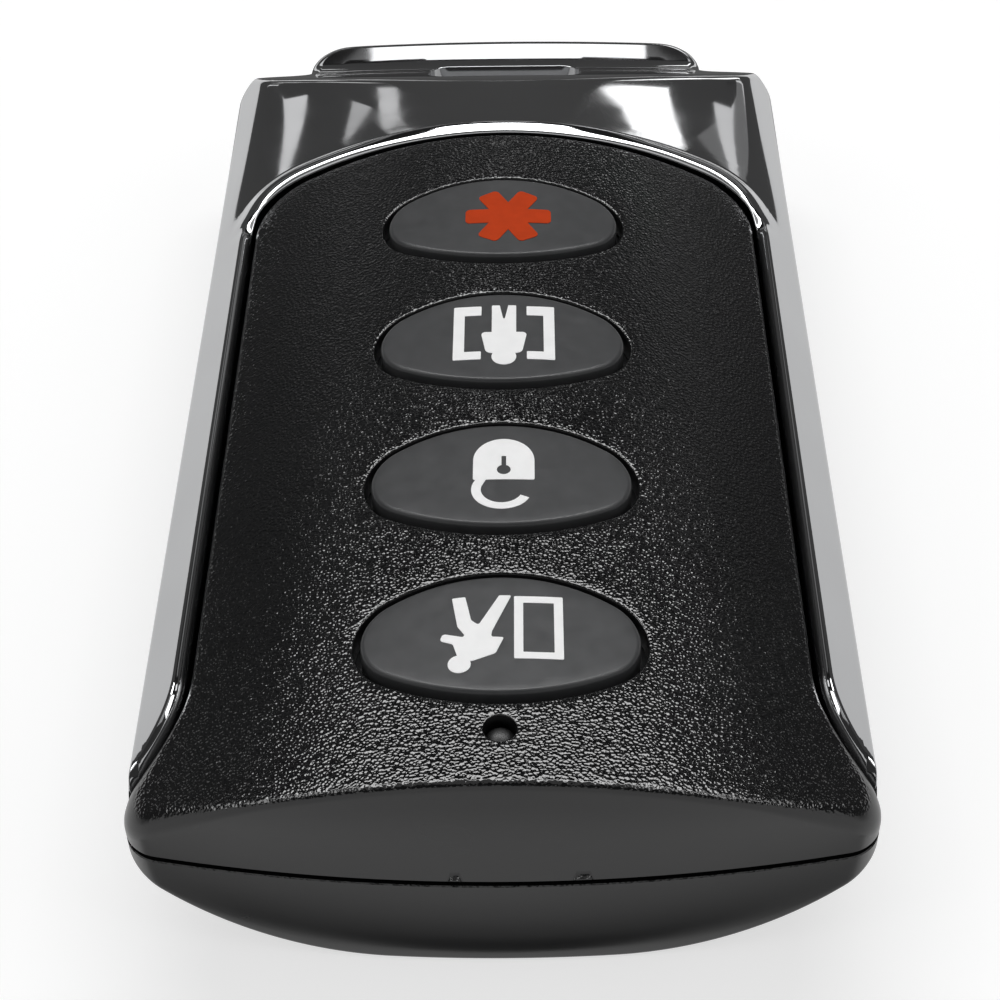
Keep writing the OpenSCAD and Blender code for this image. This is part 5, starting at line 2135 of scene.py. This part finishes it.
@dataclass
class Studio:
    """Pale floor, white surroundings, soft lamps, cards and the camera."""

    eye: Colour = (1.257, -84.724, 79.829)
    pitch: float = 44.246
    yaw: float = 1.082
    roll: float = -1.204
    focal: float = 2081.4
    frame_px: float = 1000.0
    sensor: float = 36.0
    clip_start: float = 0.005
    floor_half: float = 1.5
    floor_drop: float = 0.05
    floor_glow: float = 0.62
    floor_tone: float = 0.5
    floor_roughness: float = 0.9
    fill: float = 0.25
    # Painted shadow: dim cards on the floor in front of the near end, seen only in reflections and darkest
    # next to the part, stand in for the contact shadow that the glowing floor doesn't show to reflections.
    shadow_mat_half: float = 0.022
    shadow_mat_z: float = 0.0003
    shadow_mat_edges: tuple[float, ...] = (-0.0326, -0.0333, -0.0342, -0.0355, -0.037)
    shadow_mat_glows: tuple[float, ...] = (0.06, 0.3, 0.55, 0.8)

    LIGHTS = (
        Lamp("key_lamp", (0.0, 0.316, 0.486), (0.7, 0.12), 7.0),
        Lamp("left_lamp", (-0.5, -0.1, 0.45), (0.4, 0.4), 1.0),
        Lamp("right_lamp", (0.5, -0.1, 0.45), (0.4, 0.4), 1.0),
        Flag("low_screen", 0.95, (-100, 100), (-0.4, 28), 0.09),
        Flag("back_screen", 0.95, (-100, 100), (28, 89), 0.02),
        Flag("front_roof", 0.95, (100, 260), (35, 89), 0.05),
        Flag("dim_back", 0.9, (-45, 45), (31, 37), 0.3),
        Flag("right_soft", 0.92, (20, 37), (17, 28), 0.3),
            Card("lug_strip", 3.0, ((-5.7, 29.5), (4.9, 29.5), (4.9, 34.0), (-5.7, 34.0))),
            Card("white_patch", 3.0, ((5.4, 7.8), (10.4, 16.6), (21.5, 14.3), (13.0, 10.4), (9.4, 9.8))),
            Card("left_streak", 1.3, ((-18.1, 25.8), (-14.8, 21.7), (-29.2, 14.9), (-30.6, 15.4))),
            Card("right_streak", 1.2, ((17.0, 23.2), (20.7, 26.0), (32.1, 16.0), (31.2, 15.7))),
            Card("left_spot", 0.8, ((-12.1, 13.9), (-11.4, 11.1), (-16.6, 11.8), (-19.0, 12.2))),
            Card("left_blob", 1.1, ((-8.4, 11.1), (-7.1, 8.8), (-10.4, 8.1), (-13.3, 9.4))),
            Card("left_bend", 2.0, ((-71.0, 29.0), (-61.0, 29.0), (-61.0, 38.0), (-71.0, 38.0))),
            Card("right_bend", 2.0, ((71.0, 29.0), (61.0, 29.0), (61.0, 38.0), (71.0, 38.0))),
            Card("left_flare", 5.0, ((-112.0, 36.0), (-78.0, 36.0), (-78.0, 56.0), (-112.0, 56.0))),
            Card("right_flare", 5.0, ((112.0, 36.0), (78.0, 36.0), (78.0, 56.0), (112.0, 56.0))),
        Mat("ceiling", (-0.4, 0.14), (0.4, 0.345), 0.6, 12.0),
        Mat("zenith", (-0.4, -0.25), (0.4, 0.14), 0.6, 0.6),
        # Painted shadow: a dim card on the floor behind the part, seen only in reflections, stands in for
        # the shade under and behind the lug.
        Mat("painted_shadow_back", (-0.026, 0.0336), (0.026, 0.75), 0.0003, 0.1),
    )

    def build(self) -> None:
        """Builds everything round the part."""
        bpy.context.scene.view_settings.view_transform = "Standard"
        self._camera()
        self._floor()
        self._world()
        for light in self.LIGHTS:
            light.build()
        # The painted contact shadow in front of the near end, as strips that grow brighter away from the
        # part.
        for step, glow in enumerate(self.shadow_mat_glows):
            far, near = self.shadow_mat_edges[step : step + 2]
            Mat(f"painted_shadow_mat_{step}", (-self.shadow_mat_half, near), (self.shadow_mat_half, far), self.shadow_mat_z, glow).build()

    def _camera(self) -> None:
        """Builds the camera at the photograph's viewpoint."""
        camera = bpy.data.cameras.new("camera")
        camera.sensor_width = self.sensor
        camera.lens = self.focal * self.sensor / self.frame_px
        camera.clip_start = self.clip_start
        placed = bpy.data.objects.new("camera", camera)
        turn = (
            Matrix.Rotation(math.radians(self.yaw), 4, "Z")
            @ Matrix.Rotation(math.radians(90 - self.pitch), 4, "X")
            @ Matrix.Rotation(math.radians(self.roll), 4, "Z")
        )
        placed.matrix_world = Matrix.Translation(Vector(self.eye) * MM) @ turn
        bpy.context.scene.collection.objects.link(placed)
        bpy.context.scene.camera = placed

    @staticmethod
    def _seen(tree: bpy.types.NodeTree, hidden: bpy.types.Node, shown: bpy.types.Node) -> bpy.types.Node:
        """Mixes two shaders: one for camera, glossy and transmission rays, and one for the rest.

        Args:
            tree: The tree that holds them.
            hidden: The shader for the rest.
            shown: The shader for rays that see.

        Returns:
            The mixing node.
        """
        path = tree.nodes.new("ShaderNodeLightPath")
        total = path.outputs["Is Camera Ray"]
        for name in ("Is Glossy Ray", "Is Transmission Ray"):
            most = tree.nodes.new("ShaderNodeMath")
            most.operation = "MAXIMUM"
            tree.links.new(total, most.inputs[0])
            tree.links.new(path.outputs[name], most.inputs[1])
            total = most.outputs[0]
        mix = tree.nodes.new("ShaderNodeMixShader")
        tree.links.new(total, mix.inputs["Fac"])
        tree.links.new(hidden.outputs[0], mix.inputs[1])
        tree.links.new(shown.outputs[0], mix.inputs[2])
        return mix

    def _floor(self) -> None:
        """Builds the pale floor, which glows for seen rays and keeps the shadow."""
        material = plain_material("pale_floor", self.floor_tone, self.floor_roughness)
        tree = material.node_tree
        shaders: list[bpy.types.Node] = []
        for strength in (0.0, self.floor_glow):
            shaders.append(tree.nodes.new("ShaderNodeEmission"))
            shaders[-1].inputs["Strength"].default_value = strength
        total = tree.nodes.new("ShaderNodeAddShader")
        tree.links.new(tree.nodes["Principled BSDF"].outputs[0], total.inputs[0])
        tree.links.new(self._seen(tree, *shaders).outputs[0], total.inputs[1])
        tree.links.new(total.outputs[0], tree.nodes["Material Output"].inputs["Surface"])
        half = self.floor_half
        corners = level_square((-half, -half), (half, half), 0)
        floor = studio_piece("floor", corners, [(0, 1, 2, 3)], material)
        floor.location.z = -self.floor_drop * MM

    def _world(self) -> None:
        """Builds the surroundings: white where they are seen, and a soft fill for the rest."""
        world = bpy.data.worlds.new("studio")
        bpy.context.scene.world = world
        world.use_nodes = True
        tree = world.node_tree
        soft, white = tree.nodes.new("ShaderNodeBackground"), tree.nodes["Background"]
        for node, strength in ((soft, self.fill), (white, 1.0)):
            node.inputs["Color"].default_value = (1, 1, 1, 1)
            node.inputs["Strength"].default_value = strength
        mix = self._seen(tree, soft, white)
        tree.links.new(mix.outputs[0], tree.nodes["World Output"].inputs["Surface"])


def main() -> None:
    """Builds the part's looks and the studio round it."""
    logging.basicConfig(level=logging.INFO, format="%(message)s")
    form = CaseForm()
    keys = KeySet(form)
    Studio().build()
    FrontCover(form, keys).build()
    LightPipe(form).build()
    RearCover(form).build()
    TrimFrame(form).build()
    keys.build()
    SnapDomes().build()
    Internals().dress()


if __name__ == "__main__":
    main()
